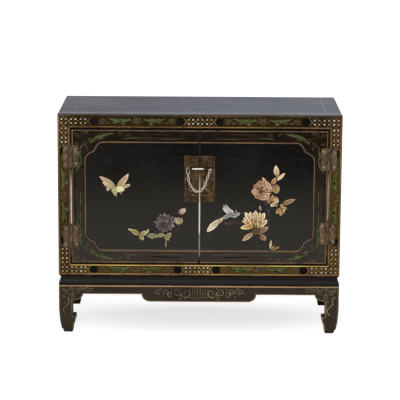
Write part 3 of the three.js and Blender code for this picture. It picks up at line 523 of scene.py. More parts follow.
top_line, lines, edges, scrolls = (bmesh.new() for _ in range(4))
line_end, line_z = stand_half - 0.6 * MM, leg_high.z - 1.9 * MM
stroke(top_line, [(end * line_end, line_z) for end in (-1, 0, 1)], 1.8 * MM, front_y)
trim("stand_top_gilt_line", top_line, top_line_gilt)
hoof_line = [(37, 97), (36.9, 60), (37.4, 52), (39.6, 49.4), (43.6, 49.4), (46, 48.2), (46.2, 44.5),
             (44.6, 36), (41, 28), (38.9, 19), (38.2, 9)]
outer_line = [(3, 139), (3, 74), (3.5, 50), (5, 34), (9, 12)]
for side in (-1, 1):
    for bm, line, half in ((lines, hoof_line, 1.15 * MM), (edges, outer_line, 1.9 * MM)):
        fine = line[:1]
        for (inset, z), (next_inset, next_z) in zip(line, line[1:]):
            parts = max(1, math.ceil(abs(next_z - z) / 5))
            fine += [(inset + (next_inset - inset) * part / parts, z + (next_z - z) * part / parts)
                     for part in range(1, parts + 1)]
        stroke(bm, [(side * (stand_half - inset * MM), z * MM) for inset, z in fine], half, leg_front)
bracket_wide, bracket_tall = 31 * MM, 19 * MM
drop_half, drop_deep, drop_round = 166 * MM, 22 * MM, 25 * MM
edge_left = []
for start, x, wide, tall in ((-math.pi / 2, -apron_half, bracket_wide, bracket_tall),
                             (math.pi, drop_round - drop_half, drop_round, drop_deep)):
    for turn in (start + step * math.pi / 16 for step in range(9)):
        edge_left.append((x + wide * math.cos(turn), apron_edge + tall * math.sin(turn)))
stroke(lines, edge_left + [(-x, z) for x, z in reversed(edge_left)], 1.1 * MM, front_y, shift=1.76 * MM)
scroll_half = 0.78 * MM
drop_scrolls = ((37, 121, 14.5, 0.05, -1.4), (62, 125, 12.5, 0.55, 1.3), (82, 115, 8, 0.1, -1.1),
                (96, 127, 9.5, 0.02, -1.3), (119, 127, 9, 0.6, 1.3), (53, 107, 6, 0.7, 1.1))
leg_scrolls = ((381, 123, 7.5, 0.4, -1.3), (366, 114, 6.5, 0.9, 1.2), (353, 124, 8.5, 0.2, 1.3),
               (390, 131, 5, 0.7, 1.1), (370, 132, 5.5, 0.5, -1.2), (340, 131, 5, 0.1, -1.1),
               (391, 108, 4, 0.1, 1.2), (373, 97, 4, 0.6, -1.0))
scroll_dots = ((26, 108), (52, 134), (80, 132), (104, 112), (131, 121), (360, 134), (345, 134), (388, 90))
scroll_stems = ((24, 122, 30, 106, 44, 106), (50, 118, 58, 112, 66, 116), (78, 122, 86, 128, 92, 115),
                (104, 122, 108, 134, 116, 137), (372, 106, 362, 104, 358, 112),
                (334, 133, 322, 138, 306, 132), (330, 126, 318, 130, 308, 126))
for side in (-1, 1):
    def at(x, z):
        return side * x * MM, z * MM

    def by_leg(x, z):
        return side * 382 * MM + x * MM, z * MM

    for x, z, size, start, turns in drop_scrolls + leg_scrolls:
        turn = start if side > 0 else 0.5 - start
        spiral(scrolls, at(x, z), size * MM, turn, side * turns, scroll_half, leg_front)
    for x, z in scroll_dots:
        dot(scrolls, *at(x, z), 1.5 * MM, front_y)
    for row in scroll_stems:
        stroke(scrolls, bow(*pairs(row, at)), scroll_half * 0.85, leg_front)
    tendril = bow(*pairs((2, 107, 11, 92, -2, 82), by_leg))
    tendril += bow(*pairs((-2, 82, -18, 69, -2, 58), by_leg))[1:]
    stroke(scrolls, tendril, scroll_half * 1.3, leg_front)
    for blade in range(4):
        x = 3.6 + 7.2 * blade
        row = (x * 0.75, 103, x * 1.15, 120, x, 136 - blade)
        stroke(scrolls, bow(*pairs(row, at)), scroll_half * 0.55, front_y)
    stroke(lines, pairs((343, 139, 333, 130, 323, 139), at), 0.9 * MM, front_y)
trim("stand_gilt_lines", lines, stand_gilt)
trim("stand_worn_edges", edges, stand_edge_gilt)
trim("stand_gilt_scrolls", scrolls, stand_scroll_gilt)


# The case is a box of boards: sides, top and bottom, with a plain back panel set in a rebate.
# Its top is coloured a bluish grey for the sheen it reflects, a painted reflection, streaked,
# paler towards the front as a painted highlight and darker to the left as painted shade. Its
# arrises are rubbed paler, partly wear and partly a painted highlight, and a fine pale crack
# runs near either end.
for part in ("case_side_left", "case_side_right", "case_back"):
    eased(part, "cabinet", lacquer(part, (0.006, 0.0055, 0.0055), (0.015, 0.0125, 0.011)))
# Painted reflection: the top's ground and cloud are bluish grey, and its rubbed arrises pale grey-blue.
top_with_painted_sheen = lacquer("case_top", (0.019, 0.025, 0.05), (0.04, 0.046, 0.075), haze=0.8, gloss=0.36,
                    wear=6 * MM, rubbed=(0.13, 0.125, 0.15), glint=(0.93, 0.96, 1))
tree = top_with_painted_sheen.node_tree
x, y = axes_of(tree)[:2]
streaks = between(tree, noise_of(tree, stretched(tree, (1.2, 15, 1)), 3, 5, 0.65), 0.42, 0.66, 0, 0.55)
lay_over(top_with_painted_sheen, streaks, (0.062, 0.056, 0.09))
# Painted shade: darker towards the left.
lay_over(top_with_painted_sheen, between(tree, x, -400 * MM, 250 * MM, 0.7, 0), (0.008, 0.01, 0.02))
# Painted highlight: paler towards the front.
painted_front_sheen = math_of(tree, "POWER", between(tree, y, -178 * MM, -90 * MM, 1, 0), 1.2)
lay_over(top_with_painted_sheen, painted_front_sheen, (0.165, 0.165, 0.195))
for crack_x, strength in ((361.5 * MM, 1), (-358.5 * MM, 0.35)):
    from_crack = math_of(tree, "ABSOLUTE", math_of(tree, "SUBTRACT", x, crack_x))
    lay_over(top_with_painted_sheen, between(tree, from_crack, 0.5 * MM, 1 * MM, strength, 0), (0.22, 0.225, 0.25))
eased("case_top", "cabinet", top_with_painted_sheen, ease=1.2 * MM, steps=3)


# The inside: the case bottom and the shelf on its cleats are stained wood with a plain grain,
# and the middle post and the door stops are pale wood. Over the middle of their height they are
# painted pale, a painted light for the light in the door gaps, and above and below they are
# painted dark as shade. A thin bead on each fills the gap beside the door.
wood_grain, given = new_group(
    "wood_grain", {"Light": (0.3, 0.2, 0.1), "Dark": (0.1, 0.06, 0.03), "Along": Vector((1, 1, 1))},
    ("Color", "Roughness", "Height"))
tree = wood_grain
along = vector_of(tree, "MULTIPLY", object_place(tree), given["Along"])[0]
figure = noise_of(tree, along, 14, 6, 0.6)
fibres = noise_of(tree, along, 160, 3, 0.6)
pores = between(tree, noise_of(tree, along, 420, 2, 0.5), 0.6, 0.72)
tone = blend_colours(tree, between(tree, figure, 0.36, 0.66), given["Light"], given["Dark"])
tone = blend_colours(tree, between(tree, fibres, 0.35, 0.7, 0, 0.45), tone, given["Dark"])
add_node(tree, "NodeGroupOutput", {
    "Color": blend_colours(tree, math_of(tree, "MULTIPLY", pores, 0.5), tone, given["Dark"]),
    "Roughness": math_of(tree, "MULTIPLY_ADD", fibres, 0.25, 0.45),
    "Height": math_of(tree, "SUBTRACT", fibres, pores)})


def wood(name, light, dark, along):
    return new_finish(name, wood_grain, {"Light": light, "Dark": dark, "Along": along}, 0.15 * MM)


def painted_gap_light(tree, height):
    """Painted light for the door gaps: full over the middle of the height, weaker lower down, and none at the
    bottom and the top.
    """
    upper = between(tree, height, 430 * MM, 490 * MM, 1, 0)
    lower = between(tree, height, 221 * MM, 236 * MM, 0, 0.4)
    middle = between(tree, height, 288 * MM, 304 * MM, 0, 0.6)
    return math_of(tree, "MULTIPLY", upper, math_of(tree, "ADD", lower, middle))


across_grain, upright_grain = (0.06, 1, 1), (1, 1, 0.06)
stained = wood("inside_wood", (0.075, 0.045, 0.026), (0.03, 0.018, 0.011), across_grain)
for part in ("case_bottom", "shelf", "shelf_cleat_left", "shelf_cleat_right"):
    eased(part, "cabinet", stained)
# Painted light: the post and the left stop are near white so that the gaps beside the doors look lit.
for part, light, bead_x, half, low_end, high_end, front in (
        ("middle_post", (1, 0.97, 0.93), 0, 1.6, 212, 486, 12.5),
        ("door_stop_left", (1, 0.97, 0.92), -368.1, 1.5, 324, 486, 15),
        ("door_stop_right", (0.85, 0.66, 0.48), 368.1, 1.5, 338, 480, 15)):
    pale_wood = wood(part, light, [0.8 * share for share in light], upright_grain)
    tree = pale_wood.node_tree
    # Painted shade: dark brown over the wood above and below the lit middle of the gaps.
    painted_gap_shade = math_of(tree, "SUBTRACT", 1, painted_gap_light(tree, axes_of(tree)[2]))
    lay_over(pale_wood, painted_gap_shade, (0.02, 0.014, 0.01))
    eased(part, "cabinet", pale_wood)
    strip_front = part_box(part)[0].y
    bead = bmesh.new()
    section = ((-1, 2), (1, 2), (1, 0.5 - front), (0.7, -front), (-0.7, -front), (-1, 0.5 - front))
    skin(bead, [[bead.verts.new(((bead_x + half * x) * MM, strip_front + y * MM, z * MM)) for x, y in section]
                for z in (low_end, low_end + 1, (low_end + high_end) / 2, high_end - 1, high_end)])
    settle(part + "_bead", bead, "cabinet", pale_wood)


# The face frame: two stiles with a rail between them above and below, lacquered a warm dark
# brown to carry the painted borders.
for part, ground, cloud in (("front_stile_left", (0.026, 0.0135, 0.0045), (0.044, 0.025, 0.009)),
                            ("front_stile_right", (0.04, 0.0225, 0.007), (0.062, 0.037, 0.013)),
                            ("front_top_rail", (0.0115, 0.006, 0.0012), (0.03, 0.017, 0.005)),
                            ("front_bottom_rail", (0.04, 0.0235, 0.006), (0.068, 0.044, 0.013))):
    finish = lacquer(part, ground, cloud, haze=0.7, gloss=0.34, wear=2.5 * MM, rubbed=(0.05, 0.035, 0.02),
                     sheen=1.2, glint=(1, 0.78, 0.42))
    eased(part, "cabinet", finish, ease=0.5 * MM)


# The painted borders: gilt lines along the frame's outer and inner edges, with a diaper of
# small mother-of-pearl petals in a gilt lattice at the corners and in the middle of each rail.
frame_gilt = gilding("frame_gilt", (0.54, 0.3, 0.092), (0.2, 0.1, 0.038), 0.25)
rim_gilt = gilding("rim_gilt", (0.28, 0.15, 0.045), (0.045, 0.027, 0.016), 0.5)
bright_gilt = gilding("bright_gilt", (0.95, 0.68, 0.2), (0.5, 0.31, 0.09), 0.15)
lattice_gilt = gilding("lattice_gilt", (0.56, 0.34, 0.1), (0.26, 0.14, 0.045), 0.3)
stile_low, stile_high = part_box("front_stile_left")
face_y, case_top_z, case_floor_z = stile_low.y, stile_high.z, stile_low.z
case_half, opening_half = abs(stile_low.x), abs(stile_high.x)
opening_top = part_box("front_top_rail")[0].z
opening_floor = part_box("front_bottom_rail")[1].z
outer_gap, inner_gap = 3.3 * MM, 2.7 * MM
rim, lines, rail_line, lattice, petals = (bmesh.new() for _ in range(5))
rim_half, rim_low, rim_high = case_half - outer_gap, case_floor_z + 2.4 * MM, case_top_z - outer_gap
inner_half = opening_half + inner_gap
inner_low, inner_high = opening_floor - inner_gap, opening_top + inner_gap + 1.2 * MM
stroke(rim, [(x, rim_high) for x in (-rim_half, -rim_half / 3, rim_half / 3, rim_half)], 1.2 * MM, face_y)
for x in (-rim_half, rim_half):
    stroke(lines, [(x, rim_high - 1.2 * MM), (x, rim_low + 1.9 * MM)], 1.3 * MM, face_y)
stroke(lines, [(end * (rim_half + 1.3 * MM), rim_low) for end in (-1, 0, 1)], 1.9 * MM, face_y)
trim("frame_rim_line", rim, rim_gilt)
stroke(lines, [(-inner_half, inner_low), (-inner_half, inner_high), (inner_half, inner_high),
               (inner_half, inner_low)], 1.25 * MM, face_y)
stroke(rail_line, [(end * inner_half, inner_low) for end in (-1, 0, 1)], 1.5 * MM, face_y)
trim("frame_gilt_lines", lines, frame_gilt)
trim("rail_gilt_line", rail_line, bright_gilt)

pearl_glow, given = new_group(
    "pearl_glow", {"Pale": (0.8, 0.78, 0.7), "Dull": (0.3, 0.24, 0.16)}, ("Color", "Height"))
tree = pearl_glow
each = add_node(tree, "ShaderNodeNewGeometry").outputs["Random Per Island"]
bands = noise_of(tree, stretched(tree), 300, 3, 0.6)
tone = blend_colours(tree, between(tree, each, 0.3, 0.95), given["Dull"], given["Pale"])
tone = blend_colours(tree, between(tree, bands, 0.35, 0.7, 0, 0.35), tone, (0.62, 0.7, 0.66))
add_node(tree, "NodeGroupOutput", {"Color": tone, "Height": bands})
pearl = new_finish("mother_of_pearl", pearl_glow, {"Pale": (0.9, 0.82, 0.66), "Dull": (0.4, 0.29, 0.16)},
                   0.05 * MM, {"Roughness": 0.3, "Coat Weight": 0.4})
petal_from, petal_to, petal_half, petal_tip = 5.3 * MM, 11.6 * MM, 1.65 * MM, 0.2 * MM


def diaper_flower(x, z, open_x, open_z):
    """Four petals set crosswise round a gold dot, with the lattice that frames them."""
    for dx, dz in ((1, 1), (1, -1), (-1, -1), (-1, 1)):
        reach = math.hypot(open_x, open_z)
        ux, uz = dx * open_x / reach, dz * open_z / reach
        steps = [petal_from + share * (petal_to - petal_from) for share in (0, 0.3, 0.6, 1)]
        stroke(petals, [(x + ux * out, z + uz * out) for out in steps],
               [petal_tip, petal_half, petal_half * 0.95, petal_tip], face_y, 0.4 * MM)
    dot(lattice, x, z, 1.3 * MM, face_y, 0.3 * MM)
    diamond = [(x - open_x, z), (x, z + open_z), (x + open_x, z), (x, z - open_z)]
    stroke(lattice, diamond, 0.6 * MM, face_y, 0.18 * MM, closed=True)


def chevron(x, z, way):
    """The notched gilt line that ends a stretch of diaper along a rail. way is where it opens."""
    back = x + way * notch
    stroke(lattice, [(back, z + band_half), (x, z), (back, z - band_half)], chevron_half, face_y)


band_x = (case_half - outer_gap + inner_half) / 2
band_z = {1: (case_top_z - outer_gap + inner_high) / 2, -1: (case_floor_z + outer_gap + inner_low) / 2}
band_half, notch, chevron_half = 12.6 * MM, 9 * MM, 0.8 * MM
pitches = {(-1, 1): (27.6, 27.0), (1, 1): (27.4, 29.0), (-1, -1): (26.6, 26.6), (1, -1): (28.0, 27.0)}
corner_flowers = 3
reserve_ends = {}
for (side, level), (pitch_x, pitch_z) in pitches.items():
    x0, z0 = side * band_x, band_z[level]
    px, pz = pitch_x * MM, pitch_z * MM
    for at in range(corner_flowers):
        diaper_flower(x0 - side * at * px, z0, px / 2, band_half)
    for at in range(1, corner_flowers):
        diaper_flower(x0, z0 - level * at * pz, band_half, pz / 2)
    end_x, end_z = x0 - side * (corner_flowers - 0.5) * px, z0 - level * (corner_flowers - 0.5) * pz
    chevron(end_x, z0, -side)
    back = end_z - level * notch
    stroke(lattice, [(x0 - band_half, back), (x0, end_z), (x0 + band_half, back)], chevron_half, face_y)
    reserve_ends[side, level] = (end_x, end_z)
middles = {1: (0.4, 26.0, 3), -1: (-6.6, 25.5, 3)}
for level, (middle, pitch, count) in middles.items():
    for at in range(count):
        x = (middle + (at - (count - 1) / 2) * pitch) * MM
        diaper_flower(x, band_z[level], pitch * MM / 2, band_half)
    for side in (-1, 1):
        chevron((middle + side * (count / 2) * pitch) * MM, band_z[level], side)
trim("diaper_petals", petals, pearl)
trim("diaper_lattice", lattice, lattice_gilt)


# The reserves between the diapers hold a red flower with pale dots in the middle, a spray of
# green leaves with gold curls on each side of it, a round tan flower beyond and a slate-blue
# end, all painted in thick brush strokes.
brush_paint, given = new_group(
    "brush_paint", {"Body": (0.1, 0.2, 0.1), "Light": (0.2, 0.3, 0.18), "Shade": (0.03, 0.05, 0.03)},
    ("Color", "Roughness", "Height"))
tree = brush_paint
here = stretched(tree)
each = add_node(tree, "ShaderNodeNewGeometry").outputs["Random Per Island"]
patchy = between(tree, noise_of(tree, here, 75, 4, 0.6), 0.36, 0.66)
bristles = noise_of(tree, stretched(tree, (0.35, 1, 1)), 520, 3, 0.6)
worn_spots = between(tree, noise_of(tree, here, 190, 4, 0.7), 0.6, 0.72)
tone = blend_colours(tree, patchy, given["Body"], given["Light"])
for share in (between(tree, each, 0.2, 0.9, 0, 0.3), between(tree, bristles, 0.4, 0.75, 0, 0.4),
              math_of(tree, "MULTIPLY", worn_spots, 0.7)):
    tone = blend_colours(tree, share, tone, given["Shade"])
add_node(tree, "NodeGroupOutput", {
    "Color": tone, "Roughness": math_of(tree, "MULTIPLY_ADD", bristles, 0.25, 0.32),
    "Height": math_of(tree, "SUBTRACT", bristles, worn_spots)})


def paint(name, body, light, shade, sheen=1.35):
    return new_finish(name, brush_paint, {"Body": body, "Light": light, "Shade": shade}, 0.08 * MM,
                      {"IOR": sheen, "Specular Tint": (1, 0.92, 0.6)})


leaf_green = paint("leaf_green", (0.042, 0.06, 0.015), (0.097, 0.12, 0.039), (0.014, 0.018, 0.005))
flower_tan = paint("flower_tan", (0.06, 0.038, 0.01), (0.112, 0.07, 0.019), (0.017, 0.011, 0.004))
flower_red = paint("flower_red", (0.034, 0.014, 0.01), (0.075, 0.036, 0.026), (0.012, 0.006, 0.005))
stamen_pale = paint("stamen_pale", (0.3, 0.24, 0.17), (0.45, 0.36, 0.27), (0.13, 0.085, 0.05))
slate_blue = paint("slate_blue", (0.003, 0.0033, 0.0038), (0.006, 0.0068, 0.0082), (0.001, 0.001, 0.0018),
                   sheen=1.15)
outline_gold = paint("outline_gold", (0.16, 0.095, 0.03), (0.26, 0.16, 0.058), (0.06, 0.035, 0.013))
tip_half = 0.12 * MM


def swell(count, full, root=0.06, belly=0.5):
    """Half breadths of a leaf: thin at the root, fullest at its belly and pointed at the tip."""
    power = math.log(0.5) / math.log(belly)
    shares = [at / count for at in range(count + 1)]
    return [max(tip_half, full * max(root * (1 - share), math.sin(math.pi * share ** power) ** 0.8))
            for share in shares]


def leaf(bm, start, control, end, full, face, belly=0.5, upper=1.0, lower=1.0, rise=0.3 * MM):
    """A bowed leaf whose two sides may swell unequally."""
    steps = 10
    halves = [(half * upper, half * lower) for half in swell(steps, full, belly=belly)]
    stroke(bm, bow(start, control, end, steps), halves, face, rise)


def blossom(bm, x, z, radius, count, turn, face, rise=0.35 * MM):
    """A round flower of short leaves."""
    for at in range(count):
        angle = turn + at * math.tau / count
        c, s = math.cos(angle), math.sin(angle)
        places = [(x + share * radius * c, z + share * radius * s) for share in (0.15, 0.6, 1)]
        leaf(bm, *places, radius * 0.3, face, belly=0.6, rise=rise)


greens, tans, reds, blues, outlines, stamens = (bmesh.new() for _ in range(6))
outline_curls = ((14, -5, 4.6, 0.6, 1), (22, 9, 3.6, -0.5, -1), (86, -8, 4.4, 0.5, 1), (44, -8, 3.4, 0.2, 1),
                 (40, 10, 3.2, 0.4, -1), (62, 9, 3.4, 2.8, 1), (76, -3, 3, 0.9, -1), (94, 5, 3.6, 2.4, 1),
                 (6, 11, 3, 0.2, -1))


def reserve(spot, half):
    """Fills one reserve. spot turns a place along and across the band into X and Z."""
    middle = spot(0, 0)
    along, across = (Vector(spot(*step)) - Vector(middle) for step in ((MM, 0), (0, MM)))
    hand_here = 1 if along.cross(across) > 0 else -1
    blossom(reds, *middle, 9.5 * MM, 7, 0.3, face_y)
    blossom(tans, *middle, 3.2 * MM, 5, 0.9, face_y, rise=0.6 * MM)
    for ring, count in ((8.6, 7), (5, 5)):
        for petal in range(count):
            turn = 0.3 + (petal + 0.5) * math.tau / count
            place = spot(ring * math.cos(turn) * MM, ring * math.sin(turn) * MM)
            dot(stamens, *place, 0.9 * MM, face_y, 0.65 * MM)
    for way in (-1, 1):
        def at(along, across):
            return spot(way * along * MM, across * MM)

        inner, outer = (0.7, 1.25) if way > 0 else (1.25, 0.7)
        leaf(greens, *pairs((17, 6, 50, -8, 84, 10), at), 5.4 * MM, face_y, 0.45, upper=inner, lower=outer)
        leaf(greens, *pairs((50, 2, 43, -4, 34, -11), at), 4.2 * MM, face_y, 0.55)
        leaf(greens, *pairs((54, -1, 62, -6, 74, -4), at), 2.2 * MM, face_y, 0.4)
        leaf(outlines, *pairs((20, 6, 50, -7, 80, 9), at), 0.5 * MM, face_y, rise=0.5 * MM)
        for along, across, size, heading, hand in outline_curls:
            start, ahead = at(along, across), at(along + math.cos(heading), across + math.sin(heading))
            aim = math.atan2(ahead[1] - start[1], ahead[0] - start[0])
            curl(outlines, start, aim, size * MM, 1.1, hand * way * hand_here, 0.65 * MM, face_y)
        flower = at(half / MM - 40, 0)
        blossom(tans, *flower, 9.5 * MM, 6, 0.2, face_y)
        blossom(reds, *flower, 4 * MM, 5, 0.7, face_y, rise=0.6 * MM)
        stroke(blues, [at(half / MM - short, 0) for short in (27, 9, 6)], [10.8 * MM, 10.8 * MM, 6 * MM],
               face_y, 0.12 * MM)


for level, (middle, pitch, count) in middles.items():
    for side in (-1, 1):
        near, far_end = (middle + side * (count / 2) * pitch) * MM, reserve_ends[side, level][0]
        centre, half = (near + far_end) / 2, abs(far_end - near) / 2
        reserve(lambda along, across: (centre + along, band_z[level] + across), half)
for side in (-1, 1):
    low_end, high_end = reserve_ends[side, -1][1], reserve_ends[side, 1][1]
    centre, half = (low_end + high_end) / 2, (high_end - low_end) / 2
    reserve(lambda along, across: (side * (band_x + across), centre + along), half)
for name, bm, finish in (("leaves", greens, leaf_green), ("round_flowers", tans, flower_tan),
                         ("red_flowers", reds, flower_red), ("blue_ends", blues, slate_blue),
                         ("outlines", outlines, outline_gold), ("stamens", stamens, stamen_pale)):
    trim("border_" + name, bm, finish)


# The doors are flat boards with one cusped field sunk across both. The field is black, and a
# patchy brown glaze lies on the face round it. Their side edges are painted pale over the middle
# of their height, a painted light where the gaps beside the doors look lit.
for part, edge_light_tone in (("door_left", (0.86, 0.83, 0.78)), ("door_right", (0.5, 0.38, 0.27))):
    finish = lacquer(part, (0.0018, 0.0017, 0.0014), (0.0045, 0.004, 0.0032), haze=0.45, gloss=0.08,
                     wear=1.5 * MM, marks=0.15, rubbed=(0.03, 0.02, 0.014), sheen=1.5, glint=(1, 0.94, 0.82))
    tree = finish.node_tree
    x, y, z = axes_of(tree)
    facing = axes_of(tree, add_node(tree, "ShaderNodeNewGeometry").outputs["Normal"])[0]
    sideways = between(tree, math_of(tree, "ABSOLUTE", facing), 0.7, 0.95)
    middle = between(tree, math_of(tree, "ABSOLUTE", x), 20 * MM, 30 * MM, 1, 0)
    patches = between(tree, noise_of(tree, stretched(tree), 34, 5, 0.65), 0.36, 0.68)
    brown = blend_colours(tree, patches, (0.006, 0.0024, 0.0006), (0.016, 0.0083, 0.004))
    lay_over(finish, between(tree, y, face_y + 0.3 * MM, face_y + 1.6 * MM, 1, 0), brown)
    # Painted light: the side edges are pale where the gaps look lit, near white by the meeting edge.
    pale = blend_colours(tree, middle, edge_light_tone, (0.86, 0.84, 0.8))
    lay_over(finish, math_of(tree, "MULTIPLY", sideways, painted_gap_light(tree, z)), pale)
    eased(part, part, finish, ease=0.5 * MM)


# Each door carries a gilt line near its edges and another round the cusped field, with a red
# line inside it on the bevel. Leaves, faint scrolls and long thin streaks are painted between.
door_gilt = gilding("door_gilt", (0.42, 0.26, 0.11), (0.19, 0.11, 0.06), 0.4)
field_gilt = gilding("field_gilt", (0.46, 0.24, 0.075), (0.24, 0.13, 0.07), 0.25)
bevel_red = paint("bevel_red", (0.075, 0.025, 0.016), (0.12, 0.045, 0.025), (0.02, 0.009, 0.007))
door_low, door_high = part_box("door_left")
door_outer, door_inner = abs(door_low.x), abs(door_high.x)
field_half, field_margin = door_outer - 38 * MM, 35 * MM
field_low, field_high = door_low.z + field_margin, door_high.z - field_margin
lobe_reach, lobe_handle, cusp_inset = 52 * MM, 36 * MM, 26 * MM
field_depth = 2.5 * MM
edge_gap = 2.9 * MM
door_curls = ((8, 4, 7, 2.2, 1), (2, 14, 5.5, 0.4, -1), (20, -10, 6, 2.7, 1), (-20, -12, 7.5, 0.6, 1),
              (-8, -20, 6.5, 2.4, -1), (8, -22, 5.5, 0.9, 1), (-26, 6, 5, 1.4, -1), (-27, 40, 4.5, 1.6, 1),
              (100, -17, 5.5, 0.3, 1), (124, -15, 5, 2.6, -1))


def field_edge(side):
    """The field's outline on one door, from the meeting edge at the top round to the bottom."""
    x, cusp = field_half, cusp_inset
    top = bow((x - lobe_reach, field_high), (x - lobe_handle, field_high), (x - cusp, field_high - cusp))
    down = bow((x - cusp, field_high - cusp), (x, field_high - lobe_handle), (x, field_high - lobe_reach))
    low = bow((x, field_low + lobe_reach), (x, field_low + lobe_handle), (x - cusp, field_low + cusp))
    back = bow((x - cusp, field_low + cusp), (x - lobe_handle, field_low), (x - lobe_reach, field_low))
    whole = [(door_inner, field_high)] + top + down[1:] + low + back[1:] + [(door_inner, field_low)]
    return [(side * px, pz) for px, pz in whole]


for part, side in (("door_left", -1), ("door_right", 1)):
    lines, field_lines, red_lines, greens, browns, blues, reds = (bmesh.new() for _ in range(7))
    line_x, line_high, line_low = door_outer - edge_gap, door_high.z - edge_gap, door_low.z + edge_gap
    edge_line = ((door_inner, line_high), (line_x, line_high), (line_x, line_low), (door_inner, line_low))
    stroke(lines, [(side * x, z) for x, z in edge_line], 1.15 * MM, face_y)
    stroke(field_lines, field_edge(side), 1.15 * MM, face_y, shift=-side * 1.0 * MM)
    stroke(red_lines, field_edge(side), 1.1 * MM, face_y + 1.4 * MM, rise=0.5 * MM, shift=side * 2.2 * MM)
    trim(part + "_edge_line", lines, door_gilt, part)
    trim(part + "_field_line", field_lines, field_gilt, part)
    trim(part + "_bevel_line", red_lines, bevel_red, part)
    for level in (1, -1):
        def at(u, v):
            """A place from the field's corner: u towards the meeting edge, v into the field."""
            edge = field_high if level > 0 else field_low
            return side * (field_half - u * MM), edge - level * v * MM

        leaf(browns, *pairs((18, 4, 40, -18, 84, -23), at), 0.5 * MM, face_y, rise=0.5 * MM)
        for u, v, size, heading, bend in door_curls:
            way = level * (heading if side < 0 else math.pi - heading)
            hand = -bend * side * level
            curl(browns, at(u, v), way, size * MM, 1.15, hand, 0.6 * MM, face_y, 0.15 * MM)
        for bm, row, half, belly in (
                (greens, (15, 6, 38, -22, 88, -24), 5.2, 0.45),
                (greens, (22, -3, 40, -10, 54, -10), 2.9, 0.5),
                (greens, (-9, 22, -20, 36, -9, 54), 3.6, 0.5),
                (greens, (-10, 52, -14, 74, -29, 88), 3.4, 0.5),
                (greens, (-4, 10, -12, 14, -14, 24), 2, 0.5),
                (greens, (112, -8, 138, -14, 160, -9), 1.5, 0.4),
                (reds, (136, -15, 196, -8, 262, -13), 1, 0.4),
                (reds, (158, -20, 206, -24, 248, -19), 0.8, 0.6),
                (blues, (176, -12, 222, -19, 272, -17), 1.9, 0.5),
                (browns, (204, -9, 244, -7, 290, -12), 0.5, 0.5)):
            leaf(bm, *pairs(row, at), half * MM, face_y, belly)
    for z, length, u, bm in ((470, 44, -27, blues), (440, 40, -19, reds), (425, 52, -11, greens),
                             (400, 60, -27, blues), (385, 38, -18, reds), (365, 44, -12, greens),
                             (345, 36, -26, blues)):
        x = side * (field_half - u * MM)
        leaf(bm, (x, z * MM), (x + side * 3 * MM, (z - length / 2) * MM), (x, (z - length) * MM), 1.7 * MM,
             face_y, rise=0.15 * MM)
    for name, bm, finish in (("leaves", greens, leaf_green), ("scrolls", browns, outline_gold),
                             ("blue_strokes", blues, slate_blue), ("red_strokes", reds, flower_red)):
        trim(f"{part}_{name}", bm, finish, part)


# Four surface hinges of bronze gone brown. Each has a leaf on the frame and one on the door,
# held by a domed rivet near every outer corner, and their knuckles take turns on a thin pin.
patina, given = new_group(
    "patina", {"Metal": (0.2, 0.14, 0.08), "Brown": (0.08, 0.05, 0.03), "Crust": (0.05, 0.055, 0.04),
               "Bright": 0.35}, ("Color", "Roughness", "Metallic", "Height"))
tree = patina
here = stretched(tree)
blotches = between(tree, noise_of(tree, here, 75, 5, 0.7), 0.4, 0.62)
stains = between(tree, noise_of(tree, here, 24, 4, 0.6), 0.5, 0.68)
pitting = noise_of(tree, here, 520, 4, 0.7)
brushed = noise_of(tree, stretched(tree, (1, 1, 0.12)), 700, 3, 0.6)
tone = blend_colours(tree, blotches, given["Brown"], given["Metal"])
tone = blend_colours(tree, math_of(tree, "MULTIPLY", stains, 0.55), tone, given["Crust"])
tone = blend_colours(tree, between(tree, pitting, 0.42, 0.72, 0, 0.45), tone, given["Brown"])
rough = math_of(tree, "MULTIPLY_ADD", pitting, 0.35, 0.3)
add_node(tree, "NodeGroupOutput", {
    "Color": tone, "Roughness": math_of(tree, "MULTIPLY_ADD", brushed, 0.12, rough),
    "Metallic": math_of(tree, "MULTIPLY_ADD", blotches, 0.15, given["Bright"]),
    "Height": math_of(tree, "MULTIPLY_ADD", brushed, 0.3, pitting)})


def aged_metal(name, metal, brown, crust, bright, sheen=1.3, depth=0.1 * MM):
    values = {"Metal": metal, "Brown": brown, "Crust": crust, "Bright": bright}
    return new_finish(name, patina, values, depth, {"IOR": sheen})


def ring_round(bm, middle, radius, across, third, sides):
    """Points round a middle, in the plane of two directions. With no radius it is one point."""
    return [bm.verts.new(middle + radius * (math.cos(turn) * across + math.sin(turn) * third))
            for turn in (side * math.tau / sides for side in range(sides if radius > 0 else 1))]


def turned(bm, profile, origin, axis, sides=32):
    """A turned form. profile gives the place along the axis and the radius at each step."""
    axis = Vector(axis)
    across = axis.orthogonal().normalized()
    third = axis.cross(across)
    skin(bm, [ring_round(bm, Vector(origin) + axis * along, radius, across, third, sides)
              for along, radius in profile])


def slab(bm, outline, back, front, ease):
    """A plate cut to an outline in X and Z, with the arris of its face eased."""
    rear, face = ([bm.verts.new((x, y, z)) for x, z in outline] for y in (back, front))
    bm.faces.new(rear[::-1])
    bm.faces.new(face)
    rim = []
    for a, b, c, d in zip(rear, rear[1:] + rear[:1], face[1:] + face[:1], face):
        bm.faces.new((a, b, c, d))
        rim.append(bm.edges.get((c, d)))
    bmesh.ops.bevel(bm, geom=rim, offset=ease, offset_type="OFFSET", segments=3, profile=0.5,
                    affect="EDGES", clamp_overlap=True)


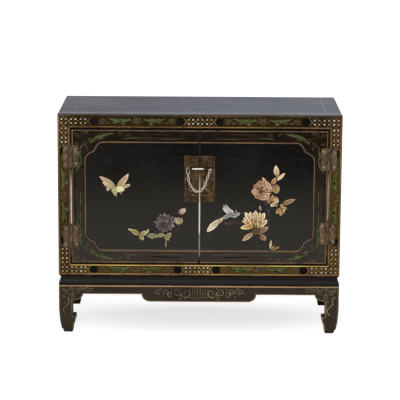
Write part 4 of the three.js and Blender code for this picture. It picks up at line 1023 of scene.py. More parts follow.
def rounded_outline(x_span, z_span, radii, steps=6):
    """A rectangle with rounded corners, from low left by low right and high right to high left."""
    (x0, x1), (z0, z1) = x_span, z_span
    corners = ((x0, z0, 1, 1, math.pi), (x1, z0, -1, 1, math.pi * 1.5), (x1, z1, -1, -1, 0),
               (x0, z1, 1, -1, math.pi / 2))
    outline = []
    for (x, z, dx, dz, start), radius in zip(corners, radii):
        for turn in (start + step / steps * math.pi / 2 for step in range(steps + 1)):
            outline.append((x + radius * (dx + math.cos(turn)), z + radius * (dz + math.sin(turn))))
    return outline


hinge_bronze = aged_metal("hinge_bronze", (0.175, 0.11, 0.058), (0.061, 0.035, 0.018), (0.055, 0.05, 0.024),
                          bright=0)
rivet_bronze = aged_metal("rivet_bronze", (0.45, 0.35, 0.25), (0.25, 0.17, 0.12), (0.15, 0.12, 0.08), 0.3)
pin_bronze = aged_metal("pin_bronze", (0.1, 0.07, 0.045), (0.045, 0.03, 0.02), (0.03, 0.03, 0.022), 0.3)
knuckle_radius, knuckle_count, knuckle_ease = 4.5 * MM, 5, 0.5 * MM
leaf_thick, metal_seat = 2.2 * MM, 0.3 * MM
leaf_front = face_y - metal_seat - leaf_thick
outer_corner, inner_corner = 4.5 * MM, 1 * MM
rivet_profile = [(out * MM, radius * MM) for out, radius in (
    (-0.3, 3.1), (0, 3.1), (0.7, 2.8), (1.3, 2.1), (1.65, 1.1), (1.75, 0))]
for place, side in (("top_left", -1), ("bottom_left", -1), ("top_right", 1), ("bottom_right", 1)):
    door = "door_left" if side < 0 else "door_right"
    pin_low, pin_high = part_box(f"hinge_{place}_pin")
    axis_x, axis_y, middle_z = (pin_low + pin_high) / 2
    for kind, body, towards, first in (("fixed", "cabinet", side, 0), ("door", door, -side, 1)):
        part = f"hinge_{place}_{kind}_leaf"
        low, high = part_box(part)
        outer = high.x if towards > 0 else low.x
        inner = axis_x + towards * (knuckle_radius + 0.5 * MM)
        bm, rivets = bmesh.new(), bmesh.new()
        radii = [inner_corner, outer_corner, outer_corner, inner_corner]
        outline = rounded_outline(sorted((inner, outer)), (low.z, high.z), radii if towards > 0 else [
            outer_corner, inner_corner, inner_corner, outer_corner])
        slab(bm, outline, leaf_front + leaf_thick, leaf_front, 0.6 * MM)
        step = (high.z - low.z) / knuckle_count
        for at in range(first, knuckle_count, 2):
            z0, z1 = low.z + at * step + 0.2 * MM, low.z + (at + 1) * step - 0.2 * MM
            turned(bm, [(z0, knuckle_radius - knuckle_ease), (z0 + knuckle_ease, knuckle_radius),
                        (z1 - knuckle_ease, knuckle_radius), (z1, knuckle_radius - knuckle_ease)],
                   (axis_x, axis_y, 0), (0, 0, 1))
            left, right = sorted((axis_x + towards * 2 * MM, inner + towards * 2 * MM))
            web = [(left, z0), (right, z0), (right, z1), (left, z1)]
            slab(bm, web, leaf_front + leaf_thick, leaf_front, 0.3 * MM)
        settle(f"bronze_{part}", bm, body, hinge_bronze, [part])
        for z in (low.z + 10 * MM, high.z - 10 * MM):
            turned(rivets, rivet_profile, (outer - towards * 6.5 * MM, leaf_front, z), (0, -1, 0), 24)
        settle(f"rivets_{part}", rivets, body, rivet_bronze)
    bm = bmesh.new()
    reach = (pin_high.z - pin_low.z) / 2
    profile = [(along * MM - reach, radius * MM)
               for along, radius in ((0, 0), (0.5, 1.4), (1.2, 2.1), (1.5, 2.2), (1.6, 1.5))]
    turned(bm, profile + [(-along, radius) for along, radius in reversed(profile)],
           (axis_x, axis_y, middle_z), (0, 0, 1), 24)
    settle(f"hinge_{place}_round_pin", bm, "cabinet", pin_bronze, [f"hinge_{place}_pin"])


# The lock: two bronze plates that together make an upright panel, chased with scrolls round a
# dark eye. Each has a bored eye, and one silvery pin slides through both to lock the doors.
plate_bronze = aged_metal("plate_bronze", (0.085, 0.046, 0.02), (0.022, 0.0115, 0.005), (0.08, 0.062, 0.02),
                          bright=0, sheen=1.15)
chased_bronze = aged_metal("chased_bronze", (0.3, 0.19, 0.09), (0.13, 0.078, 0.038), (0.1, 0.085, 0.035),
                           bright=0.1)
hollow_bronze = aged_metal("hollow_bronze", (0.022, 0.015, 0.01), (0.012, 0.008, 0.006),
                           (0.016, 0.014, 0.009), bright=0.1)
border_inset = 3 * MM
plate_hollows = ((26, 95, 5.2), (14, 84, 3), (36, 76, 2.6), (17, 108, 3.2), (34, 112, 3))
plate_curls = ((26, 84, math.pi, 10.5, 1.3, 1, 1.1), (15, 77, 0.3, 6.5, 1.2, -1, 0.8),
               (37, 68, 2.2, 5.5, 1.2, 1, 0.7), (22, 106, 0.2, 6.5, 1.2, 1, 0.8),
               (36, 104, -0.6, 6, 1.2, -1, 0.8), (12, 120, 0.8, 5.5, 1.1, 1, 0.7),
               (30, 122, 0.4, 5.5, 1.2, -1, 0.6), (34, 52, 1.9, 5, 1.1, -1, 0.6),
               (33, 20, 0.8, 6, 1.1, 1, 0.6), (16, 16, 2.4, 5, 1, -1, 0.6), (12, 58, 1.2, 4.5, 1.1, 1, 0.6))
plate_stems = ((9, 88, 14, 98, 26, 99), (38, 84, 42, 94, 37, 103), (8, 66, 13, 72, 11, 84),
               (41, 60, 38, 70, 41, 80), (8, 112, 22, 118, 38, 112), (20, 30, 30, 26, 39, 33))
for side, half in ((-1, "left"), (1, "right")):
    body = f"door_{half}"
    low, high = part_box(f"lock_plate_{half}")
    plate_front = low.y
    near, far = sorted((abs(low.x), abs(high.x)))

    def at(x, drop):
        return side * x * MM, high.z - drop * MM

    plate, relief, hollows = (bmesh.new() for _ in range(3))
    slab(plate, rounded_outline((low.x, high.x), (low.z, high.z), [1.6 * MM] * 4), high.y, low.y, 0.7 * MM)
    settle(f"chased_lock_plate_{half}", plate, body, plate_bronze, [f"lock_plate_{half}"])
    border_low, border_high = low.z + border_inset, high.z - border_inset
    border = [(near, border_low), (far - border_inset, border_low), (far - border_inset, border_high),
              (near, border_high)]
    stroke(relief, [(side * x, z) for x, z in border], 0.45 * MM, plate_front, 0.35 * MM)
    for x, drop, radius in plate_hollows:
        dot(hollows, *at(x, drop), radius * MM, plate_front, 0.12 * MM)
    for x, drop, heading, size, turns, hand, width in plate_curls:
        way = heading if side > 0 else math.pi - heading
        curl(relief, at(x, drop), way, size * MM, turns, hand * side, width * MM, plate_front, 0.5 * MM)
    for row in plate_stems:
        stroke(relief, bow(*pairs(row, at)), swell(8, 0.9 * MM), plate_front, 0.45 * MM)
    settle(f"lock_scrolls_{half}", relief, body, chased_bronze)
    settle(f"lock_hollows_{half}", hollows, body, hollow_bronze)
    eased(f"lock_eye_{half}", body, hollow_bronze, ease=0.35 * MM)

silver = aged_metal("rubbed_silver", (0.93, 0.88, 0.82), (0.72, 0.62, 0.54), (0.78, 0.72, 0.62), 0.3,
                    sheen=1.5, depth=0.03 * MM)
tree = silver.node_tree
pin_x = axes_of(tree)[0]
# The pin is coloured dark brown from its knob up to about x = -24 mm, and beyond about x = 12.5 mm.
dark_left_end = between(tree, pin_x, -29 * MM, -24 * MM, 1, 0)
dark_right_end = between(tree, pin_x, 10.5 * MM, 12.5 * MM)
lay_over(silver, math_of(tree, "MAXIMUM", dark_left_end, dark_right_end), (0.05, 0.028, 0.02))
low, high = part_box("lock_pin")
pin_y, pin_z = (low.y + high.y) / 2, (low.z + high.z) / 2
pin_radius, knob_radius, knob_x = 2.2 * MM, 3.2 * MM, -40.5 * MM
knob_turns = [step / 10 * math.pi for step in range(1, 9)]
profile = [(knob_x - knob_radius, 0)]
profile += [(knob_x - knob_radius * math.cos(turn), knob_radius * math.sin(turn)) for turn in knob_turns]
profile += [(knob_x + 3.3 * MM, 1.5 * MM), (knob_x + 4.6 * MM, 1.5 * MM), (knob_x + 5.6 * MM, pin_radius),
            (high.x - 2.4 * MM, pin_radius), (high.x - 0.5 * MM, pin_radius * 0.6), (high.x, 0)]
bm = bmesh.new()
turned(bm, profile, (0, pin_y, pin_z), (1, 0, 0), 40)
settle("round_lock_pin", bm, "lock_pin", silver, ["lock_pin"], crease=50)


# The chain that keeps the pin: bent wire links that hang from a staple on the right plate to a
# long ring round the pin. Its metal is pale like the pin's.
def wire(bm, points, radius, closed, sides=8):
    """Sweeps a round wire along points."""
    count = len(points)
    rings, across = [], None
    for at, point in enumerate(points):
        before = points[at - 1] if closed or at > 0 else point
        after = points[(at + 1) % count] if closed or at + 1 < count else point
        along = (after - before).normalized()
        across = along.orthogonal() if across is None else across - across.dot(along) * along
        across = across.normalized()
        rings.append(ring_round(bm, point, radius, across, along.cross(across), sides))
    skin(bm, rings, closed)


def wire_link(bm, start, end, width, radius, facing):
    """One long ring of wire from start to end. facing is a direction square to its plane."""
    along = (end - start).normalized()
    across = facing.cross(along).normalized()
    bend = width / 2 - radius
    reach = (end - start).length / 2 - radius - bend
    middle = (start + end) / 2
    turns = [(step + 0.5) / 16 * math.tau for step in range(16)]
    wire(bm, [middle + along * (bend * math.cos(turn) + math.copysign(reach, math.cos(turn)))
              + across * bend * math.sin(turn) for turn in turns], radius, True)


chain_metal = aged_metal("chain_metal", (1, 0.9, 0.8), (0.78, 0.64, 0.53), (0.8, 0.7, 0.58), 0.2)
wire_radius, link_width, link_pitch = 0.8 * MM, 7.2 * MM, 10.4 * MM
ring_tall, ring_wide, ring_turn, ring_wire = 20 * MM, 12 * MM, math.pi * 0.3, 0.75 * MM
ring_x = -33 * MM
ring_high = pin_z + pin_radius + 1.8 * MM
ring_low = ring_high - ring_tall
bm = bmesh.new()
wire_link(bm, Vector((ring_x, pin_y, ring_low)), Vector((ring_x, pin_y, ring_high)), ring_wide, ring_wire,
          Vector((math.cos(ring_turn), -math.sin(ring_turn), 0)))
staple_low, staple_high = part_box("chain_staple")
staple_x, staple_z = (staple_low.x + staple_high.x) / 2, (staple_low.z + staple_high.z) / 2
staple_half = (staple_high.x - staple_low.x) / 2 - ring_wire
staple_out = staple_low.y + ring_wire
chain_end = Vector((staple_x, staple_out, staple_high.z + 0.2 * MM))
chain_start = Vector((ring_x, pin_y, ring_low + 1.5 * MM))
chain_low = Vector((-4 * MM, plate_front - 4.4 * MM, chain_start.z - 54 * MM))


def hung(end, across, rise):
    """A place that the chain hangs through, on the way from its lowest place to one end."""
    return Vector((chain_low.x + (end.x - chain_low.x) * across, chain_low.y,
                   chain_low.z + (end.z - chain_low.z) * rise))


guides = [chain_start, hung(chain_start, 0.92, 0.56), hung(chain_start, 0.56, 0.21), chain_low,
          hung(chain_end, 0.45, 0.2), hung(chain_end, 0.68, 0.5), chain_end]
route = []
ends = [guides[0] * 2 - guides[1]] + guides + [guides[-1] * 2 - guides[-2]]
for a, b, c, d in zip(ends, ends[1:], ends[2:], ends[3:]):
    for t in (step / 24 for step in range(24)):
        route.append(0.5 * (2 * b + (c - a) * t + (2 * a - 5 * b + 4 * c - d) * t * t
                            + (3 * b - a - 3 * c + d) * t ** 3))
route.append(guides[-1])
lengths = [0.0]
for a, b in zip(route, route[1:]):
    lengths.append(lengths[-1] + (b - a).length)
link_count = round(lengths[-1] / link_pitch)
joints = []
for at in range(link_count + 1):
    wanted = lengths[-1] * at / link_count
    before = max(i for i, length in enumerate(lengths[:-1]) if length <= wanted + 1e-9)
    share = (wanted - lengths[before]) / (lengths[before + 1] - lengths[before])
    joints.append(route[before].lerp(route[before + 1], share))
for at, (a, b) in enumerate(zip(joints, joints[1:])):
    along = (b - a).normalized()
    side = along.cross(Vector((0, -1, 0))).normalized()
    tilt = 0.15 if at % 2 else 1.05
    facing = side.cross(along) * math.cos(tilt) + side * math.sin(tilt)
    wire_link(bm, a - along * wire_radius, b + along * wire_radius, link_width, wire_radius, facing)
chain = smooth_object("lock_chain_links", bm, chain_metal)
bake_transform(chain, "door_right", "lock_pin", start=tuple(chain_end), end=tuple(chain_start))
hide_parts("lock_chain")
bm = bmesh.new()
points = [Vector((staple_x - staple_half, staple_high.y, staple_z))]
for angle in (math.pi - step / 8 * math.pi for step in range(9)):
    points.append(Vector((staple_x + staple_half * math.cos(angle),
                          staple_out + staple_half * (1 - math.sin(angle)), staple_z)))
points.append(Vector((staple_x + staple_half, staple_high.y, staple_z)))
wire(bm, points, ring_wire, False, 10)
settle("bent_chain_staple", bm, "door_right", chain_metal, ["chain_staple"])


# The carved inlays: birds, flowers and sprays of coloured hardstone, each petal carved with a
# raised rim and midrib, laid on the sunk field and glued down.
carved_stone, given = new_group(
    "carved_stone", {"First": (0.8, 0.75, 0.6), "Second": (0.5, 0.4, 0.2), "Third": (0.3, 0.3, 0.2),
                     "Line": (0.1, 0.06, 0.03), "Veins": 0.4, "Hollow": 0.3, "Cut": 1.5, "Root": 0.7,
                     "Lip": 0.65}, ("Color", "Roughness", "Height"))
tree = carved_stone
here = stretched(tree)
petal = axes_of(tree, add_node(tree, "ShaderNodeAttribute", attribute_name="petal").outputs["Vector"])
to_edge = add_node(tree, "ShaderNodeAttribute", attribute_name="to_edge").outputs["Fac"]
across = math_of(tree, "ABSOLUTE", petal[1])
cloud = noise_of(tree, here, 55, 5, 0.6)
grit = noise_of(tree, here, 380, 4, 0.65)
mixed = chained(tree, "ADD", petal[2], between(tree, cloud, 0.3, 0.7, -0.2, 0.2),
                between(tree, petal[0], 0.1, 0.9, 0.22, -0.12))
tone = blend_colours(tree, between(tree, mixed, 0.05, 0.5), given["First"], given["Second"])
tone = blend_colours(tree, between(tree, mixed, 0.5, 0.95), tone, given["Third"])
combed = math_of(tree, "MULTIPLY_ADD", across, -3.2, math_of(tree, "MULTIPLY", petal[0], 9))
waves = math_of(tree, "SINE", math_of(tree, "MULTIPLY", combed, math.tau))
veins = math_of(tree, "MULTIPLY", between(tree, waves, 0.3, 0.9), given["Veins"])
inside = math_of(tree, "SUBTRACT", to_edge, given["Cut"])
# Painted shade: a dark line along each petal's edge where petals meet, and dark at its root where it lies
# under the petal before it.
rim = between(tree, inside, -0.6, 0.4, 1, 0)
lip = math_of(tree, "MULTIPLY", between(tree, inside, 0, 0.8), between(tree, inside, 1.8, 3.2, 1, 0))
root = math_of(tree, "MULTIPLY", between(tree, petal[0], 0.0, 0.3, 1, 0), given["Root"])
rib = math_of(tree, "MULTIPLY", between(tree, across, 0.04, 0.16, 1, 0), given["Veins"])
# cut joins the carved veins and midrib with that painted edge and root shade.
cut = chained(tree, "MAXIMUM", veins, rib, rim, root)
# Painted shade in the hollow inside the lip.
sunk = math_of(tree, "MULTIPLY", between(tree, inside, 2, 4), given["Hollow"])
tone = blend_colours(tree, sunk, tone, blend_colours(tree, 0.5, given["Second"], given["Line"]))
# Painted highlight: the lip inside the rim is lightened.
tone = blend_colours(tree, math_of(tree, "MULTIPLY", lip, given["Lip"]), tone, given["First"])
tone = blend_colours(tree, cut, tone, given["Line"])
add_node(tree, "NodeGroupOutput", {
    "Color": blend_colours(tree, between(tree, grit, 0.5, 0.75, 0, 0.3), tone, given["Line"]),
    "Roughness": math_of(tree, "MULTIPLY_ADD", grit, 0.3, 0.25),
    "Height": math_of(tree, "SUBTRACT", math_of(tree, "MULTIPLY", grit, 0.35), cut)})


def stone_finish(name, first, second, third, line, veins, hollow=0.35, cut=1.3, root=0.7, lip=0.65):
    """A stone of three tones with its carved lines, and painted shade where petals meet, from ambient
    occlusion.
    """
    values = {"First": first, "Second": second, "Third": third, "Line": line, "Veins": veins,
              "Hollow": hollow, "Cut": cut, "Root": root, "Lip": lip}
    material = new_finish(name, carved_stone, values, 0.5 * MM, {"IOR": 1.35})
    tree = material.node_tree
    # Painted shade: darker where ambient occlusion finds petals close together.
    crevice_shade = add_node(tree, "ShaderNodeAmbientOcclusion", {"Distance": 5 * MM}, samples=8).outputs["AO"]
    lay_over(material, between(tree, crevice_shade, 0.35, 0.85, 0.85, 0), line)
    return material


def carved_petal(bm, root, tip, width, rise, tone, belly, bend):
    """A petal or leaf from root to tip on the field, pointed at both ends, with a lip along its
    rim, a hollow inside that and a midrib. It notes for the stone where each place lies."""
    rows, columns = 14, 11
    petal_layer = bm.verts.layers.float_vector["petal"]
    edge_layer = bm.verts.layers.float["to_edge"]
    length = math.hypot(tip[0] - root[0], tip[1] - root[1])
    ux, uz = (tip[0] - root[0]) / length, (tip[1] - root[1]) / length
    power = math.log(0.5) / math.log(belly)
    grid = []
    for row in range(rows + 1):
        along = min(max(row / rows, 0.012), 0.988)
        fullness = math.sin(math.pi * along ** power)
        half = width / 2 * fullness ** 0.7
        sway = bend * width * math.sin(math.pi * along)
        line = []
        for column in range(-1, columns + 1):
            spread = min(max(column / (columns - 1), 0), 1) * 2 - 1
            crest = 0.7 + 0.22 * math.cos(math.tau * 1.1 * spread)
            height = rise * fullness ** 0.45 * crest * (0.7 + 0.3 * along)
            if abs(spread) == 1:
                height *= 0.5
            if column in (-1, columns):
                height = 0
            x = root[0] + ux * length * along - uz * (half * spread + sway)
            z = root[1] + uz * length * along + ux * (half * spread + sway)
            vert = bm.verts.new((x, stone_back - height, z))
            vert[petal_layer] = (along, spread, tone)
            vert[edge_layer] = half * (1 - abs(spread)) / MM * max(1, 13 * MM / width)
            line.append(vert)
        grid.append(line)
    skin(bm, grid)


def carve(part, body, place, finish, petals):
    """One inlay. Each petal gives its root and tip from the inlay's place, in millimetres, its
    width, its tone, and if need be its height, the share of its length where it is widest and
    how far it bends to a side."""
    bm = bmesh.new()
    bm.verts.layers.float_vector.new("petal")
    bm.verts.layers.float.new("to_edge")
    x, z = place
    for at, (root_x, root_z, tip_x, tip_z, width, tone, *shape) in enumerate(petals):
        rise, belly, bend = shape + [3.6, 0.5, 0.06 * (-1) ** at][len(shape):]
        carved_petal(bm, ((x + root_x) * MM, (z + root_z) * MM), ((x + tip_x) * MM, (z + tip_z) * MM),
                     width * MM, (rise + 0.04 * at % 0.5) * MM, tone, belly, bend)
    settle(f"carved_{part}", bm, body, finish, [part], crease=50)


def bloom(count, start, reach, width, rise, tones, squash, middle=(0, 0), bend=0.1):
    """One ring of a flower's petals."""
    petals, root = [], 1.5
    for at in range(count):
        angle = (start + at / count) * math.tau
        c, s = math.cos(angle), math.sin(angle)
        far = reach * (1 - squash * abs(s)) * (1 + 0.06 * math.sin(at * 2.4 + reach))
        x, z = middle
        petals.append((x + root * c, z + root * s, x + far * c, z + far * s, width, tones[at % len(tones)],
                       rise, 0.62, bend))
    return petals


stone_back = face_y + field_depth - metal_seat
bird_stone = stone_finish("bird_stone", (1, 0.93, 0.58), (0.62, 0.38, 0.21), (0.52, 0.5, 0.16),
                          (0.09, 0.04, 0.018), 0.4, 0.05, 0.9, 0.4)
carve("inlay_bird_left", "door_left", (-241, 439.6), bird_stone, [
    (-6, -7, -27, -9, 9, 0.35, 2.2), (-5, -7, -33, -1, 9, 0.5, 2.4), (-5, -6, -38, 7, 10, 0.4, 2.6),
    (-3, -5, -46.5, 24.5, 17, 0.5, 3.6, 0.36, -0.05), (-1, -3, -34, 20, 9, 0.25, 4.4, 0.4),
    (10, -9, 29, 4, 9, 0.2, 2.4), (10, -9, 34, 12, 9, 0.35, 2.6), (9, -9, 37.5, 21, 10, 0.25, 2.8),
    (7, -9, 38.5, 33, 17, 0.55, 3.6, 0.42, -0.06), (4, -5, 28, 27, 9, 0.3, 4.6, 0.4),
    (17, -9, 42, -3.5, 9, 0.5, 2.6), (15, -9, 43.5, 1.5, 11, 0.45, 3.2), (-14, -10, -26, -16, 9, 0.4, 3),
    (-4, -8, 20, -20, 15, 0.05, 4.2), (0, -6, 27, -16, 17, -0.2, 5.6, 0.6, 0.02),
    (1, -27, 4.5, -35.5, 4, 0.7, 2.4), (13, -20, 19, -28, 5, 0.7, 2.6),
    (-1, -4, -1, -33, 15, 0.85, 5, 0.45, 0.02), (-7, -8, -8, -24, 9, 0.7, 4)])
leaf_stone = stone_finish("leaf_stone", (0.78, 0.7, 0.4), (0.35, 0.28, 0.075), (0.2, 0.21, 0.14),
                          (0.04, 0.026, 0.01), 0.3, 0.15, 1.3, 0.7, 0.3)
carve("inlay_leaves_left", "door_left", (-137.8, 290.5), leaf_stone, [
    (-53, 14, -67.5, 21, 7, -0.2, 2.4), (-34, 1, -60, 18.5, 17, 0.4, 3.8), (-36, 2, -9, 11, 16, 0.45, 3.6),
    (-33, 6, -22.5, -14, 15, 0.55, 4), (-14, 4, -7.5, 20.5, 8, 0.2, 2.8), (-14, -1, 12, 5, 15, 0.75, 3.4),
    (0, 2, 24, -3, 13, 0.95, 3.2), (-4, 0, 8, -8, 10, 0.65, 3), (14, 0, 40, 3, 14, 0.6, 3.2),
    (38, -8, 57.5, 10, 17, 0.75, 4), (36, 4, 52, -14, 14, 0.65, 3.4), (42, -6, 42, -38, 5, 0.45, 2)])
purple_stone = stone_finish("purple_stone", (0.7, 0.62, 0.5), (0.085, 0.045, 0.06), (0.05, 0.027, 0.045),
                            (0.014, 0.008, 0.012), 0.0, 0.1, 1.2, 0.1, 0.22)
carve("inlay_flower_purple", "door_left", (-99.1, 329.5), purple_stone,
      bloom(13, 0.02, 30.5, 13, 2.6, (0.6, 0.9, 0.7), 0.05, middle=(0, -1))
      + bloom(11, 0.05, 24, 12, 3.6, (0.7, 0.5, 0.9, 0.6), 0.1, middle=(-1, -1))
      + [(-4 + x, -4, -4 + 1.35 * x, 16 - 0.035 * x * x, 5.5, -0.3 + 0.02 * abs(x), 6.4 - 0.12 * abs(x),
          0.55, 0.02 * x) for x in (-11, -7.3, -3.6, 0, 3.6, 7.3, 11)]
      + [(-10, -8, 2, -9, 7, 0.3, 7.2), (-8, -5, 0, -4, 5, 0.1, 8)])
bud_stone = stone_finish("bud_stone", (0.7, 0.58, 0.41), (0.38, 0.25, 0.09), (0.2, 0.14, 0.06),
                         (0.045, 0.024, 0.01), 0.2)
carve("inlay_bud_low", "door_left", (-60, 337.9), bud_stone, [
    (-5, -13, -9, 8.5, 12, 0.5, 3.2), (5, -14, 8.5, 6.5, 13, 0.6, 3.4), (0, -15.5, 0, 8, 17, 0.1, 4.6),
    (-6, -4, 7, 5, 9, 0.25, 5)])
carve("inlay_bud_high", "door_left", (-46.9, 365.4), bud_stone, [
    (-9, -11, 9.5, -1, 12, 0.9, 3), (-6, -13, -9, 4, 12, 0.6, 3.2), (-8, -10, 7.5, 6.5, 16, -0.2, 4.8)])
grey_stone = stone_finish("grey_stone", (0.78, 0.78, 0.73), (0.36, 0.29, 0.21), (0.085, 0.11, 0.085),
                          (0.03, 0.025, 0.02), 0.1, 0.0, 1.2, 0.3)
carve("inlay_bird_right", "door_right", (95.1, 364.6), grey_stone, [
    (-10, -12, -27, -24, 9, 0.95, 2.6), (3, -11, -28, -17.5, 11, 0.85, 3), (-7, -12, -30, 12, 9, -0.4, 2.6),
    (-4, -11, -27.5, 19, 9, -0.5, 4, 0.5), (0, -10, -21, 20.5, 9, -0.6, 5.2, 0.55),
    (4, -11, -8, 8, 8, -0.2, 3.2), (19, -6, 32, -4.5, 2.4, 0.9, 1.6), (-16, -13, -2, -6, 9, 0.5, 3.6),
    (8, -5, 11, 2.5, 6, 0.6, 2.6), (-9, -15, 19, -8.5, 14, 0.6, 4.8),
    (6, -13, 21.5, -5.5, 13, 0.45, 5.4, 0.6)])
pale_stone = stone_finish("pale_stone", (0.95, 0.85, 0.67), (0.52, 0.37, 0.2), (0.2, 0.16, 0.1),
                          (0.08, 0.04, 0.015), 0.0, 0.5, 1.5, 0.35, 0.5)
cream_stone = stone_finish("cream_stone", (1, 0.85, 0.55), (0.64, 0.34, 0.08), (0.12, 0.115, 0.05),
                           (0.075, 0.03, 0.008), 0.0, 0.6, 1.75, 0.4, 0.5)
carve("inlay_leaf_long", "door_right", (44.3, 324.75), pale_stone, [
    (27, 24, 1, -2, 12, 0.4, 3), (25, 22.5, -23.5, -22, 20, 0.05, 4.4, 0.6),
    (18, 13, -12, -8, 9, 0.15, 5, 0.5)])
carve("inlay_flower_cream", "door_right", (162.4, 351.9), cream_stone, [
    (14, 13, 10, 31, 8, 1.0, 2.4), (-6, -22, -41, -17, 17, 0.6, 2.6), (-4, -34, -35, -39, 11, 0.75, 2.4),
    (-2, -30, -45.5, -37.5, 19, 0.45, 3.4), (-8, -24, -32, 10.5, 17, -0.2, 4, 0.62),
    (-12, -26, -37, -6, 15, 0.4, 3), (6, -34, 25, 9, 19, -0.2, 4, 0.62),
    (8, -38, 32.5, -10.5, 15, 0.35, 3.4, 0.6), (6, -40, 27, -21, 13, 0.3, 4.6, 0.6),
    (-4, -28, -18.5, 12.5, 15, 0.0, 5.6, 0.62), (4, -28, 12, 11, 15, 0.1, 5.2, 0.62),
    (10, -38, 19, -3, 14, 0.1, 6, 0.6), (0, -30, -1, 16, 20, 0.05, 6.8, 0.6),
    (-2, -36, -22, -9, 16, 0.3, 6.2, 0.6), (6, -38, 8, -2, 16, 0.2, 7.8, 0.6),
    (-2, -36, -8, -3, 15, 0.3, 7.6, 0.6), (7, -42, 3, -12, 16, 0.15, 9, 0.6),
    (-1, -40, -4, -24, 11, 0.95, 7.6, 0.5)])
pink_stone = stone_finish("pink_stone", (0.85, 0.54, 0.36), (0.4, 0.21, 0.09), (0.24, 0.15, 0.055),
                          (0.05, 0.016, 0.01), 0.1, 0.5, 1.8, 0.35)
calyx_stone = stone_finish("calyx_stone", (0.66, 0.44, 0.24), (0.28, 0.15, 0.085), (0.13, 0.085, 0.07),
                           (0.035, 0.013, 0.01), 0.15, 0.5, 1.7, 0.6, 0.4)
carve("inlay_flower_pink", "door_right", (179.7, 429.2), pink_stone,
      [(24, -14, -2, 36, 17, 0.4, 3, 0.5, -0.14)]
      + bloom(8, 0.02, 28.5, 23, 2.8, (0.6, 0.4, 0.8), 0.02, middle=(-3, -4))
      + [(-16, -26, 24, -21, 17, 0.45, 4.2, 0.5, -0.1), (-12, -19, 26, -12, 16, 0.3, 5.2, 0.5, -0.1)]
      + [(25, -12, 5, 27, 17, 0.0, 5.6, 0.5, -0.2)]
      + bloom(5, 0.1, 20, 21, 4.8, (0.3, 0.5, 0.2), 0.04, middle=(-6, -3), bend=0.16)
      + bloom(4, 0.03, 12.5, 16, 6.8, (0.0, 0.3), 0.04, middle=(-6, -3), bend=0.2)
      + [(-14, -7, 4, 0, 13, 0.3, 8.6, 0.5, 0.12), (-13, -9, 2, -5, 9, 0.0, 9.4, 0.5, -0.1),
         (-9, -2, -1, -6, 6.5, 0.2, 10.4, 0.5, 0.1)])
carve("inlay_leaves_low", "door_right", (164, 304), calyx_stone, [
    (6, -5, 36, 15.5, 17, 0.45, 3.2), (-5, -1, -42, -28, 17, 0.1, 3.6), (10, -8, 27, -25.5, 19, 0.45, 3.8),
    (12, -6, 12, -22, 9, 0.9, 4.2), (-8, 10, -9, -8, 9, 0.9, 4.2), (4, 12, 5, -10, 9, 0.8, 4.4),
    (-3, 13, -2, -12, 9, 0.6, 5), (6, 2, 16, -8, 9, 0.7, 3.2)])
tan_stone = stone_finish("tan_stone", (1, 0.8, 0.48), (0.46, 0.255, 0.085), (0.26, 0.12, 0.045),
                         (0.045, 0.016, 0.007), 0.2, 0.4, 1.5, 0.7, 0.35)
carve("inlay_leaves_tall", "door_right", (218.1, 436.4), tan_stone, [
    (5, 28, -1.5, 63, 18, 0.0, 3.4, 0.45), (5, 30, 0, 52, 8, -0.2, 4, 0.5), (2, 16, 27, 41, 11, -0.3, 3.4),
    (-14, 5, 0, 27, 15, 0.65, 3.2), (0, 22, 8, 34, 7, 0.5, 2.8), (2, 8, 2, -21, 24, 0.6, 3.4),
    (3, 6, 4, -18, 13, 0.4, 4.2), (-6, 6, -9, -16, 11, 0.75, 3), (-9, -22, -10, -44, 12, 0.7, 3.6),
    (-6, -34, -27, -45, 14, 0.85, 3), (-16, -34, -22, -50, 11, 0.7, 2.6), (-2, -28, 7, -48, 16, 0.25, 3.8),
    (-7, -44, 9, -34, 12, 0.2, 4.2), (6, -46, -17, -57, 14, 0.35, 4), (-6, -52, 7, -56, 11, 0.95, 3.4)])
carve("inlay_leaves_brown", "door_right", (250.9, 388.5), tan_stone, [
    (-14, -4, 25.5, 12, 16, 0.9, 3.4, 0.4), (-12, -4, 6, 2, 9, 0.7, 4.2), (-20, -2, -10, -16, 11, 0.5, 3.4),
    (-16, -12, 1, -16, 12, 0.7, 3.6), (-14, -18, -4, -22, 9, 0.15, 3.4),
    (-16, -14, -32, -31, 15, 0.65, 3.4), (-26, -16, -30, -28, 9, 0.4, 4),
    (-20, -16, -15.5, -38, 13, 0.5, 4), (-12, -20, -10, -32, 10, 0.8, 3)])
carve("inlay_grass", "door_right", (222.4, 272.1), tan_stone, [
    (-18.5, -20, -15, 9.5, 8, 0.15, 3), (-17, -20, -6, -9, 8, 0.5, 2.6), (-13, -20, 10.5, -12, 8, 0.8, 2.8),
    (-14, -19, 2, -17, 7, 0.6, 3.2)])


# Between the inlays, twigs and grasses are painted straight on the field: a knotty red-brown
# twig, dark purple branches and a few faint blades near the edge.
twig_red = paint("twig_red", (0.1, 0.032, 0.022), (0.2, 0.1, 0.07), (0.03, 0.012, 0.01))
branch_purple = paint("branch_purple", (0.032, 0.02, 0.036), (0.075, 0.045, 0.06), (0.012, 0.009, 0.014))
faint_brown = paint("faint_brown", (0.034, 0.022, 0.016), (0.06, 0.04, 0.028), (0.014, 0.01, 0.008))
field_y = face_y + field_depth
reds, purples, faints = (bmesh.new() for _ in range(3))


def in_mm(x, z):
    return x * MM, z * MM


def twig(bm, places, half, rise):
    stroke(bm, bow(*places), swell(8, half * MM, root=0.5), field_y, rise)


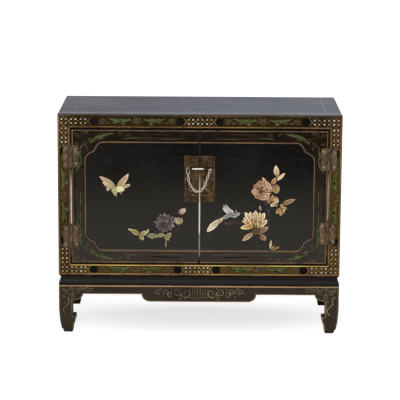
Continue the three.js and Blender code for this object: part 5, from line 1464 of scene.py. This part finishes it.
red_twigs = ((71, 331, 84, 322, 95, 329, 2), (92, 327, 103, 334, 116, 327, 1.7),
             (84, 326, 90, 335, 97, 334, 0.9), (71, 331, 62, 338, 56, 350, 0.8))
branches = ((186, 398, 190, 384, 194, 372, 2.6), (193, 376, 199, 360, 200, 342, 2.4),
            (200, 344, 201, 330, 195, 318, 1.8), (205, 372, 200, 362, 199, 352, 1.6),
            (214, 392, 206, 384, 200, 366, 1.4), (162, 290, 166, 276, 163, 258, 1.3),
            (-128, 300, -120, 306, -112, 304, 1.2), (-76, 352, -66, 362, -56, 356, 1.0),
            (234, 372, 224, 366, 212, 372, 1.0))
for bm, rows, rise in ((reds, red_twigs, 0.2 * MM), (purples, branches, 0.18 * MM)):
    for *row, half in rows:
        twig(bm, pairs(row, in_mm), half, rise)
for x, z, radius in ((78, 327, 1.9), (90, 328, 1.7), (101, 331, 1.8), (110, 329, 1.4), (86, 331, 1.2)):
    dot(reds, *in_mm(x, z), radius * MM, field_y, 0.3 * MM)
grass_rng = random.Random(11)
tufts = ((196, 252, 6, 26, 0.2), (214, 254, 7, 38, -0.7), (176, 250, 4, 16, 0.3), (-64, 300, 4, 20, -0.6),
         (-56, 300, 3, 16, 0.5))
for root_x, root_z, count, reach, lean in tufts:
    for at in range(count):
        angle = math.pi / 2 + lean + (at - (count - 1) / 2) * 0.24
        length = reach * (0.7 + 0.4 * grass_rng.random())
        dx, dz = length * math.cos(angle), length * math.sin(angle)
        row = (root_x, root_z, root_x + 0.2 * dx, root_z + 0.7 * dz, root_x + dx, root_z + dz)
        twig(faints, pairs(row, in_mm), 0.7, 0.12 * MM)
for name, bm, finish in (("red_twig", reds, twig_red), ("faint_grasses", faints, faint_brown),
                         ("branches", purples, branch_purple)):
    for body, half in (("door_left", bm.copy()), ("door_right", bm)):
        wrong = [v for v in half.verts if (v.co.x > 0) == (body == "door_left")]
        bmesh.ops.delete(half, geom=wrong, context="VERTS")
        if half.verts:
            trim(f"painted_{name}_{body}", half, finish, body)
